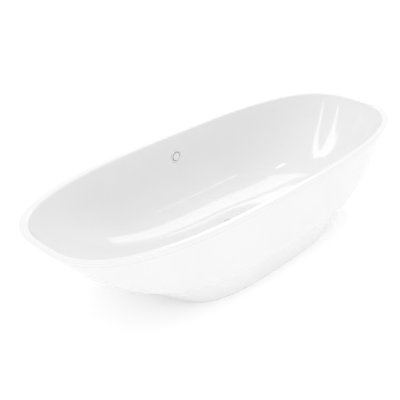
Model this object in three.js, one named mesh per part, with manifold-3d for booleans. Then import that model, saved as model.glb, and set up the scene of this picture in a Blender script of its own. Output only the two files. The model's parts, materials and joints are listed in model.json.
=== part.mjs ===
// Freestanding double-skinned bathtub: basin, outer skirt, tapered plinth, steel cradle with four
// levelling feet, click-clack waste with a shallow trap, and an overflow with its hose.
// Millimetres, +Z up, +X along the length. The origin is on the floor at the middle of the footprint,
// straight under the drain. The overflow is in the +Y wall.
import * as THREE from "three";
import { mergeVertices } from "three/addons/utils/BufferGeometryUtils.js";
import Module from "manifold-3d";

const wasm = await Module();
wasm.setup();

// Overall size
const LENGTH = 1800;
const WIDTH = 716;
const HEIGHT = 400;
const TOUCH_GAP = 0.3; // between pieces that rest on each other
const RING_STEPS = 48; // points round each oval section

// Rim and skins
const OUTLINE_POWER = 2.94; // superellipse power of the rim's outline
const RIM_WIDTH = 28;
const RIM_THICKNESS = 9;
const RIM_LIP_DROP = 16; // how far the rim turns down outside
const RIM_EDGE_RADIUS = 7;
const RIM_ROLL = { width: 9, edgeInset: 3, edgeDrop: 2.5 }; // rounding from the rim into the basin
const BEAD = { belowLip: 7, widthAtRim: 6, skirtInset: 2, widthAtSkirt: 5 };
const BASIN_WALL = 6;
const SKIRT_WALL = 5;
const SKIRT_FLANGE = 20; // turned-in foot of the skirt
const SEAM_STEP = 3; // the plinth sits back this far under the skirt

// Outer hull: a half-axis shrinks with depth as (1 - depth^q)^(1/p), with depth 1 at the keel
const HULL = { keelZ: 15, endQ: 1.19, endP: 2.62, sideQ: 4.4, sideP: 2.62, lowPower: 3.24 };
const HULL_FOOT_Z = 130;

// Plinth
const PLINTH = { halfLength: 444, halfWidth: 276, power: 3.43, wall: 6, flange: 22 };

// Basin
const BASIN = { floorZ: 80, endQ: 1.25, endP: 2.9, sideQ: 3.6, sideP: 2.4, lowPower: 2.4 };
const BASIN_TOP_DEPTH = 0.028; // the sections start here, just under the rim's rounding
const BASIN_LOW_DEPTH = { inside: 0.985, outside: 0.95 };
const FLOOR_PAD = { halfLength: 300, halfWidth: 112, z: 74 }; // flat laminated pad under the floor
const DRAIN_HOLE_R = 26;
const DRAIN_RECESS = { r: 38, z: 78 };

// Cradle under the basin
const BOARD = { halfLength: 290, halfWidth: 104, thickness: 12, holeR: 68 };
const RAIL = { halfLength: 340, width: 30, height: 12, wall: 2, y: 86 };
const BAR = { x: 290, halfLength: 205, width: 44, height: 25, thickness: 3 };
const BOARD_SCREW = { x: 150, r: 2.2, headR: 5, headHeight: 3 };
const FRAME_BOLT = { r: 4, acrossFlats: 13, headHeight: 5.5, nutHeight: 6.5 };

// Levelling feet
const FOOT = { x: 290, y: 172, padR: 23, padHeight: 14, bossR: 11, socketR: 6.6, socketZ: 3.5 };
const STUD = { r: 6, ballR: 6.2, topZ: 66, flatsZ: 15, flatsHeight: 6, flatsAcross: 15 };
const FOOT_NUT = { acrossFlats: 19, height: 8 };

// Waste and trap
const FLANGE = { r: 34, thickness: 2.4, tailR: 23.5, boreR: 20, tailZ: 52 };
const SEAL_THICKNESS = 1.2;
const LOWER_SEAL = { innerR: 26.5, outerR: 40, thickness: 3 };
const WASTE = { flangeR: 42, r: 34, innerR: 30, throatR: 23.9, topWall: 4.4, bottomZ: 12 };
const TRAP_CUP = { r: 38, innerR: 34.8, bottomZ: 5, topZ: 19, floor: 3 };
const BAFFLE = { r: 28.6, wall: 2, bottomZ: 16, halfAngle: 1.05 };
const OUTLET = { z: 40, r: 20, innerR: 17.5, spigotR: 17, spigotInnerR: 14.5, endX: 180 };
const OUTLET_NUT = { r: 25, fromX: 42, toX: 62, overPipe: 6 };
const HOSE_PORT = { z: 36, r: 6.5, innerR: 5.2, endY: 62 };

// Click-clack plug, drawn open: it closes by moving down
const PLUG = { capR: 31, capZ: 90.6, capThickness: 4.2, sealR: 19.3, sealInnerR: 9 };
const STEM = { r: 3, bottomZ: 60, collarR: 8, collarHeight: 3.4 };
const CARTRIDGE = { bottomZ: 62, topZ: 72, bossR: 8, armWidth: 4, armR: 19.2 };
const SPRING = { r: 5, wireR: 0.6, turns: 5 };

// Overflow, in the +Y wall
const OVERFLOW = { z: 296, holeR: 24, ringR: 27.6, ringThickness: 2.6, tailR: 23, boreR: 20.4 };
const OVERFLOW_TAIL_Z = -17.5;
const OVERFLOW_BRIDGE = { z: -16, width: 5, thickness: 3, bossR: 6, bossHeight: 5 };
const OVERFLOW_SEAT = { frontR: 28.2, backR: 34, backZ: -5.7 }; // flats for the ring and its seal
const OVERFLOW_CUT = { fromZ: -30, toZ: 20 }; // long enough to go right through the leaning wall
const OVERFLOW_CAP = { r: 18.6, thickness: 2.4, stemR: 3, stemZ: -14 };
const OVERFLOW_BODY = { flangeR: 33, r: 29, innerR: 23.4, frontZ: -8.7, backZ: -20.7, wall: 1.8 };
const OVERFLOW_FLANGE_THICKNESS = 2.4;
const OVERFLOW_SEAL_THICKNESS = 2.4;
const OVERFLOW_SPIGOT = { r: 6.5, innerR: 5.2, depth: 15.4, length: 50, from: 10 };
const HOSE = { r: 8.8, innerR: 7.3, sides: 8, steps: 24, clampR: 9.9, clampWidth: 8, overlap: 13 };
const CLAMP_SHARE = 0.02; // of the hose's length, from either end
// The hose's way down between the skins and in under the basin, as [y, z]
const HOSE_ROUTE = [[325, 200], [289, 142], [240, 84], [180, 50], [120, 37]];

const ACRYLIC = { color: 0xf4f5f4, roughness: 0.12, metalness: 0 };
const LAMINATE = { color: 0xd9d3c2, roughness: 0.7, metalness: 0 };
const STEEL = { color: 0xb9bcc0, roughness: 0.35, metalness: 1 };
const CHROME = { color: 0xe3e5e8, roughness: 0.08, metalness: 1 };
const RUBBER = { color: 0x1c1c1d, roughness: 0.75, metalness: 0 };
const PIPE = { color: 0xe8e8e4, roughness: 0.4, metalness: 0 };
const GREY_PLASTIC = { color: 0x5d6064, roughness: 0.5, metalness: 0 };
const SEALANT = { color: 0xefefec, roughness: 0.45, metalness: 0 };

const tub = new THREE.Group();

// Adds a piece to the tub, or to a group that is placed in it.
function add(name, geometry, look, parent = tub) {
  const mesh = new THREE.Mesh(geometry, new THREE.MeshStandardMaterial(look));
  mesh.name = name;
  parent.add(mesh);
  return mesh;
}

// Oval sections --------------------------------------------------------------------------------

function hullRing(z) {
  const depth = (HEIGHT - z) / (HEIGHT - HULL.keelZ);
  return {
    a: (LENGTH / 2) * (1 - depth ** HULL.endQ) ** (1 / HULL.endP),
    b: (WIDTH / 2) * (1 - depth ** HULL.sideQ) ** (1 / HULL.sideP),
    n: OUTLINE_POWER + (HULL.lowPower - OUTLINE_POWER) * depth,
    z,
  };
}

// A section of the basin at a depth from 0, the rim, to 1, the floor; grow is 0 on the inner face.
function basinRing(depth, grow = 0) {
  const top = HEIGHT - grow * 0.5;
  return {
    a: (LENGTH / 2 - RIM_WIDTH + grow) * (1 - depth ** BASIN.endQ) ** (1 / BASIN.endP),
    b: (WIDTH / 2 - RIM_WIDTH + grow) * (1 - depth ** BASIN.sideQ) ** (1 / BASIN.sideP),
    n: OUTLINE_POWER + (BASIN.lowPower - OUTLINE_POWER) * depth,
    z: top - depth * (top - BASIN.floorZ + grow),
  };
}

function plinthRing(z) {
  const top = insetRing(hullRing(HULL_FOOT_Z), SEAM_STEP);
  const rise = z / HULL_FOOT_Z;
  return {
    a: PLINTH.halfLength + (top.a - PLINTH.halfLength) * rise,
    b: PLINTH.halfWidth + (top.b - PLINTH.halfWidth) * rise,
    n: PLINTH.power + (top.n - PLINTH.power) * rise,
    z,
  };
}

function insetRing(ring, inset, z = ring.z) {
  return { a: ring.a - inset, b: ring.b - inset, n: ring.n, z };
}

function circle(r, z) {
  return { a: r, b: r, n: 2, z };
}

// The inner face of a wall: the same height, moved in by the wall's thickness square to its slope.
function innerFace(section, z, wall) {
  const here = section(z);
  const below = section(z - 1);
  const endSlope = here.a - below.a;
  const sideSlope = here.b - below.b;
  return {
    a: here.a - wall * Math.hypot(1, endSlope),
    b: here.b - wall * Math.hypot(1, sideSlope),
    n: here.n,
    z,
  };
}

function ringPoints(ring) {
  const points = [];
  for (let i = 0; i < RING_STEPS; i += 1) {
    const angle = (i / RING_STEPS) * 2 * Math.PI;
    const c = Math.cos(angle);
    const s = Math.sin(angle);
    const x = ring.a * Math.sign(c) * Math.abs(c) ** (2 / ring.n);
    const y = ring.b * Math.sign(s) * Math.abs(s) ** (2 / ring.n);
    points.push([x, y, ring.z]);
  }
  return points;
}

// A closed band through oval sections, the last joined to the first.
function band(rings) {
  const positions = rings.flatMap(ringPoints).flat();
  const indices = [];
  for (let row = 0; row < rings.length; row += 1) {
    const next = ((row + 1) % rings.length) * RING_STEPS;
    const here = row * RING_STEPS;
    for (let i = 0; i < RING_STEPS; i += 1) {
      const j = (i + 1) % RING_STEPS;
      indices.push(here + i, here + j, next + j, here + i, next + j, next + i);
    }
  }
  const geometry = new THREE.BufferGeometry();
  geometry.setAttribute("position", new THREE.Float32BufferAttribute(positions, 3));
  geometry.setIndex(indices);
  return facingOut(geometry);
}

// Evenly spaced numbers from first to last.
function spread(first, last, count) {
  return Array.from({ length: count }, (_, i) => first + ((last - first) * i) / (count - 1));
}

// General solids -------------------------------------------------------------------------------

function signedVolume(geometry) {
  const p = geometry.getAttribute("position");
  const index = geometry.index ? geometry.index.array : [...Array(p.count).keys()];
  const [u, v, w] = [new THREE.Vector3(), new THREE.Vector3(), new THREE.Vector3()];
  let sum = 0;
  for (let i = 0; i < index.length; i += 3) {
    u.fromBufferAttribute(p, index[i]);
    v.fromBufferAttribute(p, index[i + 1]);
    w.fromBufferAttribute(p, index[i + 2]);
    sum += u.dot(v.cross(w));
  }
  return sum / 6;
}

function facingOut(geometry) {
  if (signedVolume(geometry) > 0) return geometry;
  const index = geometry.index.array;
  for (let i = 0; i < index.length; i += 3) {
    [index[i + 1], index[i + 2]] = [index[i + 2], index[i + 1]];
  }
  return geometry;
}

// A solid turned about Z from a closed outline of [radius, z] points, listed either way round.
function turned(outline, steps = 20) {
  const points = outline.map(([r, z]) => new THREE.Vector2(r, z));
  if (outline[0][0] > 0 || outline.at(-1)[0] > 0) points.push(points[0].clone());
  return facingOut(new THREE.LatheGeometry(points, steps).rotateX(Math.PI / 2));
}

function tube(outerR, innerR, fromZ, toZ, steps = 20) {
  return turned([[innerR, fromZ], [outerR, fromZ], [outerR, toZ], [innerR, toZ]], steps);
}

function rod(r, fromZ, toZ, steps = 20) {
  return turned([[0, fromZ], [r, fromZ], [r, toZ], [0, toZ]], steps);
}

function block(width, depth, height, x, y, bottomZ) {
  return new THREE.BoxGeometry(width, depth, height).translate(x, y, bottomZ + height / 2);
}

function hexagon(acrossFlats) {
  const corners = spread(0, 300, 6).map((degrees) => {
    const angle = (degrees * Math.PI) / 180;
    const r = acrossFlats / Math.sqrt(3);
    return new THREE.Vector2(r * Math.cos(angle), r * Math.sin(angle));
  });
  return new THREE.Shape(corners);
}

function prism(shape, fromZ, toZ) {
  const settings = { depth: toZ - fromZ, bevelEnabled: false, curveSegments: 5 };
  return new THREE.ExtrudeGeometry(shape, settings).translate(0, 0, fromZ);
}

function nut(acrossFlats, holeR, fromZ, toZ) {
  const shape = hexagon(acrossFlats);
  shape.holes.push(new THREE.Path().absarc(0, 0, holeR, 0, 2 * Math.PI, true));
  return prism(shape, fromZ, toZ);
}

// Joins and cuts -------------------------------------------------------------------------------

function solid(geometry) {
  const bare = new THREE.BufferGeometry();
  bare.setAttribute("position", geometry.getAttribute("position"));
  bare.setIndex(geometry.index);
  const merged = mergeVertices(bare, 1e-3);
  const vertProperties = new Float32Array(merged.getAttribute("position").array);
  const triVerts = new Uint32Array(merged.index.array);
  return new wasm.Manifold(new wasm.Mesh({ numProp: 3, vertProperties, triVerts }));
}

function geometryOf(manifold) {
  const mesh = manifold.getMesh();
  const geometry = new THREE.BufferGeometry();
  geometry.setAttribute("position", new THREE.BufferAttribute(mesh.vertProperties, 3));
  geometry.setIndex(new THREE.BufferAttribute(mesh.triVerts, 1));
  return geometry;
}

// Joins the first list of geometries, then cuts every geometry of the second out of them.
function joined(parts, cuts = []) {
  const whole = parts.map(solid).reduce((sum, part) => sum.add(part));
  return geometryOf(cuts.map(solid).reduce((rest, cut) => rest.subtract(cut), whole));
}

// Where the overflow sits: its local +Z points from the wall into the basin, local +Y up the wall.
function overflowPlace() {
  const depth = (HEIGHT - OVERFLOW.z) / (HEIGHT - BASIN.floorZ);
  const below = basinRing(depth + 0.01);
  const above = basinRing(depth - 0.01);
  const lean = Math.atan2(above.b - below.b, above.z - below.z);
  return { y: basinRing(depth).b, angle: Math.PI / 2 - lean };
}

function placedAtOverflow(object) {
  const { y, angle } = overflowPlace();
  if (object.isBufferGeometry) return object.rotateX(angle).translate(0, y, OVERFLOW.z);
  object.position.set(0, y, OVERFLOW.z);
  object.rotation.x = angle;
  return object;
}

// Skins ----------------------------------------------------------------------------------------

// The depths get closer together towards the floor, where the section curves most.
function basinDepths(count, last) {
  const power = 2.2;
  const first = (1 - BASIN_TOP_DEPTH) ** (1 / power);
  return spread(first, (1 - last) ** (1 / power), count).map((step) => 1 - step ** power);
}

function basinShell() {
  const lipBottom = hullRing(HEIGHT - RIM_LIP_DROP);
  const rimOuter = hullRing(HEIGHT);
  const underRim = HEIGHT - RIM_THICKNESS;
  const inside = basinDepths(9, BASIN_LOW_DEPTH.inside).map((depth) => basinRing(depth));
  const outside = basinDepths(7, BASIN_LOW_DEPTH.outside).map((depth) =>
    basinRing(depth, BASIN_WALL),
  );
  const pad = { a: FLOOR_PAD.halfLength, b: FLOOR_PAD.halfWidth, n: BASIN.lowPower, z: FLOOR_PAD.z };
  const shell = band([
    circle(DRAIN_HOLE_R, DRAIN_RECESS.z),
    circle(DRAIN_RECESS.r, DRAIN_RECESS.z),
    circle(DRAIN_RECESS.r + 2, BASIN.floorZ + 0.6),
    ...inside.reverse(),
    insetRing(rimOuter, RIM_WIDTH - RIM_ROLL.edgeInset, HEIGHT - RIM_ROLL.edgeDrop),
    insetRing(rimOuter, RIM_WIDTH - RIM_ROLL.width, HEIGHT),
    insetRing(rimOuter, RIM_EDGE_RADIUS + 1, HEIGHT),
    insetRing(rimOuter, 2.4, HEIGHT - 2.2),
    insetRing(rimOuter, 0, HEIGHT - RIM_EDGE_RADIUS),
    lipBottom,
    insetRing(lipBottom, BASIN_WALL),
    insetRing(hullRing(underRim), BASIN_WALL),
    { ...basinRing(BASIN_TOP_DEPTH, BASIN_WALL), z: underRim },
    ...outside.slice(1),
    pad,
    circle(DRAIN_HOLE_R, FLOOR_PAD.z),
  ]);
  const { fromZ, toZ } = OVERFLOW_CUT;
  const overflowCuts = [
    rod(OVERFLOW.holeR, fromZ, toZ, 32),
    rod(OVERFLOW_SEAT.frontR, 0, toZ, 32),
    rod(OVERFLOW_SEAT.backR, fromZ, OVERFLOW_SEAT.backZ, 32),
  ];
  return joined([shell], overflowCuts.map(placedAtOverflow));
}

function outerSkirt() {
  const heights = spread(HEIGHT - RIM_LIP_DROP - TOUCH_GAP, HULL_FOOT_Z, 8);
  const outside = heights.map(hullRing);
  const inside = heights.slice(0, -1).map((z) => innerFace(hullRing, z, SKIRT_WALL));
  const foot = hullRing(HULL_FOOT_Z);
  const flangeTop = HULL_FOOT_Z + SKIRT_WALL;
  return band([
    ...outside,
    insetRing(foot, SKIRT_FLANGE + SKIRT_WALL),
    insetRing(foot, SKIRT_FLANGE + SKIRT_WALL, flangeTop),
    innerFace(hullRing, flangeTop, SKIRT_WALL),
    ...inside.reverse(),
  ]);
}

// Adhesive in the corner between the rim's lip, the rim's underside and the top of the skirt.
function rimBead() {
  const topZ = HEIGHT - RIM_THICKNESS - TOUCH_GAP;
  const lipZ = HEIGHT - RIM_LIP_DROP - TOUCH_GAP;
  const skirt = innerFace(hullRing, lipZ - BEAD.belowLip, SKIRT_WALL);
  const outer = BASIN_WALL + TOUCH_GAP;
  return band([
    insetRing(hullRing(topZ), outer),
    insetRing(hullRing(lipZ), outer),
    insetRing(skirt, BEAD.skirtInset),
    insetRing(skirt, BEAD.skirtInset + BEAD.widthAtSkirt),
    insetRing(hullRing(topZ), BASIN_WALL + BEAD.widthAtRim),
  ]);
}

function basePlinth() {
  const topZ = HULL_FOOT_Z - TOUCH_GAP;
  const wallTop = topZ - PLINTH.wall;
  const bottom = plinthRing(0);
  const top = plinthRing(topZ);
  return band([
    bottom,
    plinthRing(topZ / 2),
    top,
    insetRing(top, PLINTH.flange),
    insetRing(top, PLINTH.flange, wallTop),
    innerFace(plinthRing, wallTop, PLINTH.wall),
    innerFace(plinthRing, topZ / 2, PLINTH.wall),
    innerFace(plinthRing, PLINTH.wall, PLINTH.wall),
    insetRing(bottom, PLINTH.flange, PLINTH.wall),
    insetRing(bottom, PLINTH.flange),
  ]);
}

// Cradle ---------------------------------------------------------------------------------------

const BOARD_TOP = FLOOR_PAD.z - TOUCH_GAP;
const BOARD_BOTTOM = BOARD_TOP - BOARD.thickness;
const RAIL_TOP = BOARD_BOTTOM - TOUCH_GAP;
const RAIL_BOTTOM = RAIL_TOP - RAIL.height;
const BAR_TOP = RAIL_BOTTOM - TOUCH_GAP;
const SIGNS = [-1, 1];
const CORNERS = SIGNS.flatMap((sx) => SIGNS.map((sy) => ({ sx, sy })));

function sideName({ sx, sy }) {
  return `${sx < 0 ? "left" : "right"}_${sy < 0 ? "front" : "back"}`;
}

function baseBoard() {
  const edge = { a: BOARD.halfLength, b: BOARD.halfWidth, n: BASIN.lowPower };
  const board = band([
    { ...edge, z: BOARD_TOP },
    { ...edge, z: BOARD_BOTTOM },
    circle(BOARD.holeR, BOARD_BOTTOM),
    circle(BOARD.holeR, BOARD_TOP),
  ]);
  const pilotHoles = CORNERS.map(({ sx, sy }) =>
    rod(BOARD_SCREW.r + TOUCH_GAP, BOARD_BOTTOM - 1, BOARD_TOP - 2, 10).translate(
      sx * BOARD_SCREW.x,
      sy * RAIL.y,
      0,
    ),
  );
  return joined([board], pilotHoles);
}

function rail(sy) {
  const y = sy * RAIL.y;
  const outer = block(2 * RAIL.halfLength, RAIL.width, RAIL.height, 0, y, RAIL_BOTTOM);
  const bore = block(
    2 * RAIL.halfLength + 2,
    RAIL.width - 2 * RAIL.wall,
    RAIL.height - 2 * RAIL.wall,
    0,
    y,
    RAIL_BOTTOM + RAIL.wall,
  );
  const holes = SIGNS.flatMap((sx) => [
    rod(BOARD_SCREW.r + TOUCH_GAP, RAIL_BOTTOM - 1, RAIL_TOP + 1, 10).translate(
      sx * BOARD_SCREW.x,
      y,
      0,
    ),
    rod(FRAME_BOLT.r + TOUCH_GAP, RAIL_BOTTOM - 1, RAIL_TOP + 1, 12).translate(sx * BAR.x, y, 0),
  ]);
  return joined([outer], [bore, ...holes]);
}

function crossBar(sx) {
  const x = sx * BAR.x;
  const flangeX = x + sx * (BAR.width / 2 - BAR.thickness / 2);
  const length = 2 * BAR.halfLength;
  const web = block(BAR.width, length, BAR.thickness, x, 0, BAR_TOP - BAR.thickness);
  const flange = block(BAR.thickness, length, BAR.height, flangeX, 0, BAR_TOP - BAR.height);
  const drilled = [BAR_TOP - BAR.height, BAR_TOP + 1];
  const cuts = SIGNS.flatMap((sy) => [
    rod(FRAME_BOLT.r + TOUCH_GAP, ...drilled, 12).translate(x, sy * RAIL.y, 0),
    rod(STUD.r + 0.5, ...drilled, 16).translate(x, sy * FOOT.y, 0),
  ]);
  return joined([web, flange], cuts);
}

function boardScrew() {
  const headTop = RAIL_BOTTOM - TOUCH_GAP;
  const tip = BOARD_TOP - 3;
  return turned(
    [
      [0, headTop - BOARD_SCREW.headHeight],
      [BOARD_SCREW.headR * 0.7, headTop - BOARD_SCREW.headHeight],
      [BOARD_SCREW.headR, headTop - BOARD_SCREW.headHeight * 0.4],
      [BOARD_SCREW.headR, headTop],
      [BOARD_SCREW.r, headTop],
      [BOARD_SCREW.r, tip - 3],
      [0, tip],
    ],
    8,
  );
}

function frameBolt() {
  const headTop = BAR_TOP - BAR.thickness - TOUCH_GAP;
  const head = prism(hexagon(FRAME_BOLT.acrossFlats), headTop - FRAME_BOLT.headHeight, headTop);
  const shank = rod(FRAME_BOLT.r, headTop - 1, RAIL_TOP + FRAME_BOLT.nutHeight + 4, 12);
  return joined([head, shank]);
}

function addCradle() {
  add("base_board", baseBoard(), LAMINATE);
  for (const sy of SIGNS) add(sy < 0 ? "rail_front" : "rail_back", rail(sy), STEEL);
  for (const sx of SIGNS) add(sx < 0 ? "cross_bar_left" : "cross_bar_right", crossBar(sx), STEEL);
  const nutFrom = RAIL_TOP + TOUCH_GAP;
  for (const corner of CORNERS) {
    const side = sideName(corner);
    const screw = add(`board_screw_${side}`, boardScrew(), STEEL);
    screw.position.set(corner.sx * BOARD_SCREW.x, corner.sy * RAIL.y, 0);
    const bolt = add(`frame_bolt_${side}`, frameBolt(), STEEL);
    bolt.position.set(corner.sx * BAR.x, corner.sy * RAIL.y, 0);
    const boltNut = add(
      `frame_nut_${side}`,
      nut(FRAME_BOLT.acrossFlats, FRAME_BOLT.r + TOUCH_GAP, nutFrom, nutFrom + FRAME_BOLT.nutHeight),
      STEEL,
    );
    boltNut.position.copy(bolt.position);
  }
}

// Levelling feet -------------------------------------------------------------------------------

function footPad() {
  return turned(
    [
      [0, 0],
      [FOOT.padR - 1.5, 0],
      [FOOT.padR, 1.5],
      [FOOT.padR, 5],
      [FOOT.bossR, 8],
      [FOOT.bossR, FOOT.padHeight],
      [FOOT.socketR, FOOT.padHeight],
      [FOOT.socketR, FOOT.socketZ],
      [0, FOOT.socketZ],
    ],
    16,
  );
}

function footStud() {
  const foot = FOOT.socketZ + TOUCH_GAP;
  const flatsTop = STUD.flatsZ + STUD.flatsHeight;
  const shank = turned(
    [
      [0, foot],
      [STUD.ballR - 2, foot],
      [STUD.ballR, foot + 3],
      [STUD.ballR, foot + 6],
      [STUD.r - 1.5, foot + 8],
      [STUD.r - 1.5, STUD.flatsZ + 1],
      [STUD.r, flatsTop - 1],
      [STUD.r, STUD.topZ - 1],
      [STUD.r - 1, STUD.topZ],
      [0, STUD.topZ],
    ],
    12,
  );
  return joined([shank, prism(hexagon(STUD.flatsAcross), STUD.flatsZ, flatsTop)]);
}

function addFeet() {
  const barBottom = BAR_TOP - BAR.thickness;
  const holeR = STUD.r + 0.4;
  for (const corner of CORNERS) {
    const side = sideName(corner);
    const foot = new THREE.Group();
    foot.position.set(corner.sx * FOOT.x, corner.sy * FOOT.y, 0);
    tub.add(foot);
    const weldFrom = BAR_TOP + TOUCH_GAP;
    const weldNut = nut(FOOT_NUT.acrossFlats, holeR, weldFrom, weldFrom + FOOT_NUT.height);
    const lockTop = barBottom - TOUCH_GAP;
    const lockNut = nut(FOOT_NUT.acrossFlats, holeR, lockTop - FOOT_NUT.height, lockTop);
    add(`weld_nut_${side}`, weldNut, STEEL, foot);
    add(`lock_nut_${side}`, lockNut, STEEL, foot);
    add(`foot_stud_${side}`, footStud(), STEEL, foot);
    add(`foot_pad_${side}`, footPad(), RUBBER, foot);
  }
}

// Waste and trap -------------------------------------------------------------------------------

const FLANGE_BOTTOM = DRAIN_RECESS.z + SEAL_THICKNESS + 2 * TOUCH_GAP;
const WASTE_TOP = FLOOR_PAD.z - LOWER_SEAL.thickness - 2 * TOUCH_GAP;

// A tube that lies along -X or +Y from the drain's axis.
function sidewaysTube(outerR, innerR, from, to, z, turn) {
  return tube(outerR, innerR, from, to, 20).rotateY(Math.PI / 2).rotateZ(turn).translate(0, 0, z);
}

function sidewaysRod(r, from, to, z, turn) {
  return rod(r, from, to, 20).rotateY(Math.PI / 2).rotateZ(turn).translate(0, 0, z);
}

const TOWARDS_OUTLET = Math.PI;
const TOWARDS_OVERFLOW = Math.PI / 2;

function wasteFlange() {
  const top = FLANGE_BOTTOM + FLANGE.thickness;
  return turned(
    [
      [FLANGE.boreR, FLANGE.tailZ],
      [FLANGE.tailR, FLANGE.tailZ],
      [FLANGE.tailR, FLANGE_BOTTOM],
      [FLANGE.r, FLANGE_BOTTOM],
      [FLANGE.r, FLANGE_BOTTOM + 0.8],
      [FLANGE.r - 2.5, top],
      [FLANGE.boreR + 2, top],
      [FLANGE.boreR, top - 2],
    ],
    24,
  );
}

function wasteBody() {
  const housing = turned(
    [
      [WASTE.throatR, WASTE_TOP],
      [WASTE.flangeR, WASTE_TOP],
      [WASTE.flangeR, WASTE_TOP - WASTE.topWall],
      [WASTE.r, WASTE_TOP - WASTE.topWall],
      [WASTE.r, WASTE.bottomZ],
      [WASTE.innerR, WASTE.bottomZ],
      [WASTE.innerR, WASTE_TOP - WASTE.topWall],
      [WASTE.throatR, WASTE_TOP - WASTE.topWall],
    ],
    24,
  );
  const reach = WASTE.innerR + 2;
  const outletEnd = OUTLET_NUT.toX - OUTLET_NUT.overPipe;
  const outlet = sidewaysRod(OUTLET.spigotR, reach, outletEnd, OUTLET.z, TOWARDS_OUTLET);
  const inlet = sidewaysRod(HOSE_PORT.r, reach, HOSE_PORT.endY, HOSE_PORT.z, TOWARDS_OVERFLOW);
  const outletBore = sidewaysRod(OUTLET.spigotInnerR, 20, OUTLET_NUT.toX, OUTLET.z, TOWARDS_OUTLET);
  const inletBore = sidewaysRod(HOSE_PORT.innerR, 20, HOSE_PORT.endY + 5, HOSE_PORT.z, TOWARDS_OVERFLOW);
  return joined([housing, outlet, inlet], [outletBore, inletBore]);
}

function trapCup() {
  return turned([
    [0, TRAP_CUP.bottomZ],
    [TRAP_CUP.r - 2, TRAP_CUP.bottomZ],
    [TRAP_CUP.r, TRAP_CUP.bottomZ + 2],
    [TRAP_CUP.r, TRAP_CUP.topZ],
    [TRAP_CUP.innerR, TRAP_CUP.topZ],
    [TRAP_CUP.innerR, TRAP_CUP.bottomZ + TRAP_CUP.floor],
    [0, TRAP_CUP.bottomZ + TRAP_CUP.floor],
  ]);
}

// A curved wall that hangs in front of the outlet, so that water has to pass under it.
function trapBaffle() {
  const shape = new THREE.Shape();
  const from = Math.PI - BAFFLE.halfAngle;
  const to = Math.PI + BAFFLE.halfAngle;
  shape.absarc(0, 0, BAFFLE.r, from, to, false);
  shape.absarc(0, 0, BAFFLE.r - BAFFLE.wall, to, from, true);
  return prism(shape, BAFFLE.bottomZ, WASTE_TOP - WASTE.topWall - TOUCH_GAP);
}

function addWaste() {
  add("waste_flange", wasteFlange(), CHROME);
  const sealFrom = DRAIN_RECESS.z + TOUCH_GAP;
  const upperSeal = tube(FLANGE.r - 1, FLANGE.tailR + 1, sealFrom, sealFrom + SEAL_THICKNESS);
  add("waste_seal_upper", upperSeal, RUBBER);
  const lowerFrom = WASTE_TOP + TOUCH_GAP;
  const lowerTo = lowerFrom + LOWER_SEAL.thickness;
  add(
    "waste_seal_lower",
    tube(LOWER_SEAL.outerR, LOWER_SEAL.innerR, lowerFrom, lowerTo),
    RUBBER,
  );
  add("waste_body", wasteBody(), PIPE);
  add("trap_baffle", trapBaffle(), PIPE);
  add("trap_cup", trapCup(), PIPE);
  const pipeFrom = OUTLET_NUT.toX - OUTLET_NUT.overPipe + TOUCH_GAP;
  const pipe = sidewaysTube(
    OUTLET.r,
    OUTLET.innerR,
    pipeFrom,
    OUTLET.endX,
    OUTLET.z,
    TOWARDS_OUTLET,
  );
  add("outlet_pipe", pipe, PIPE);
  const nutGeometry = turned([
    [OUTLET.spigotR + TOUCH_GAP, OUTLET_NUT.fromX],
    [OUTLET_NUT.r, OUTLET_NUT.fromX],
    [OUTLET_NUT.r, OUTLET_NUT.toX],
    [OUTLET.r + TOUCH_GAP, OUTLET_NUT.toX],
    [OUTLET.r + TOUCH_GAP, pipeFrom - 1],
    [OUTLET.spigotR + TOUCH_GAP, pipeFrom - 1],
  ]);
  nutGeometry.rotateY(Math.PI / 2).rotateZ(TOWARDS_OUTLET).translate(0, 0, OUTLET.z);
  add("outlet_nut", nutGeometry, GREY_PLASTIC);
}

// Plug -----------------------------------------------------------------------------------------

const COLLAR_TOP = PLUG.capZ - TOUCH_GAP;
const COLLAR_BOTTOM = COLLAR_TOP - STEM.collarHeight;

function plugCap() {
  const top = PLUG.capZ + PLUG.capThickness;
  return turned(
    [
      [0, PLUG.capZ],
      [PLUG.capR - 1.2, PLUG.capZ],
      [PLUG.capR, PLUG.capZ + 1],
      [PLUG.capR - 0.8, PLUG.capZ + 2.2],
      [PLUG.capR * 0.7, top - 0.6],
      [0, top],
    ],
    24,
  );
}

function cartridge() {
  const height = CARTRIDGE.topZ - CARTRIDGE.bottomZ;
  const arms = [
    block(2 * CARTRIDGE.armR, CARTRIDGE.armWidth, height, 0, 0, CARTRIDGE.bottomZ),
    block(CARTRIDGE.armWidth, 2 * CARTRIDGE.armR, height, 0, 0, CARTRIDGE.bottomZ),
  ];
  const boss = rod(CARTRIDGE.bossR, CARTRIDGE.bottomZ, CARTRIDGE.topZ);
  const bore = rod(STEM.r + TOUCH_GAP, CARTRIDGE.bottomZ - 1, CARTRIDGE.topZ + 1, 16);
  return joined([...arms, boss], [bore]);
}

function plugSpring() {
  const from = CARTRIDGE.topZ + TOUCH_GAP + SPRING.wireR;
  const to = COLLAR_BOTTOM - TOUCH_GAP - SPRING.wireR;
  const points = spread(0, 1, SPRING.turns * 10 + 1).map((along) => {
    const angle = along * SPRING.turns * 2 * Math.PI;
    const z = from + (to - from) * along;
    return new THREE.Vector3(SPRING.r * Math.cos(angle), SPRING.r * Math.sin(angle), z);
  });
  return swept(new THREE.CatmullRomCurve3(points), SPRING.wireR, 5, SPRING.turns * 8);
}

// A round bar along a curve.
function swept(path, r, sides, steps) {
  const section = new THREE.Shape(
    spread(0, 2 * Math.PI, sides + 1)
      .slice(0, -1)
      .map((angle) => new THREE.Vector2(r * Math.cos(angle), r * Math.sin(angle))),
  );
  return new THREE.ExtrudeGeometry(section, { steps, extrudePath: path, bevelEnabled: false });
}

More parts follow.
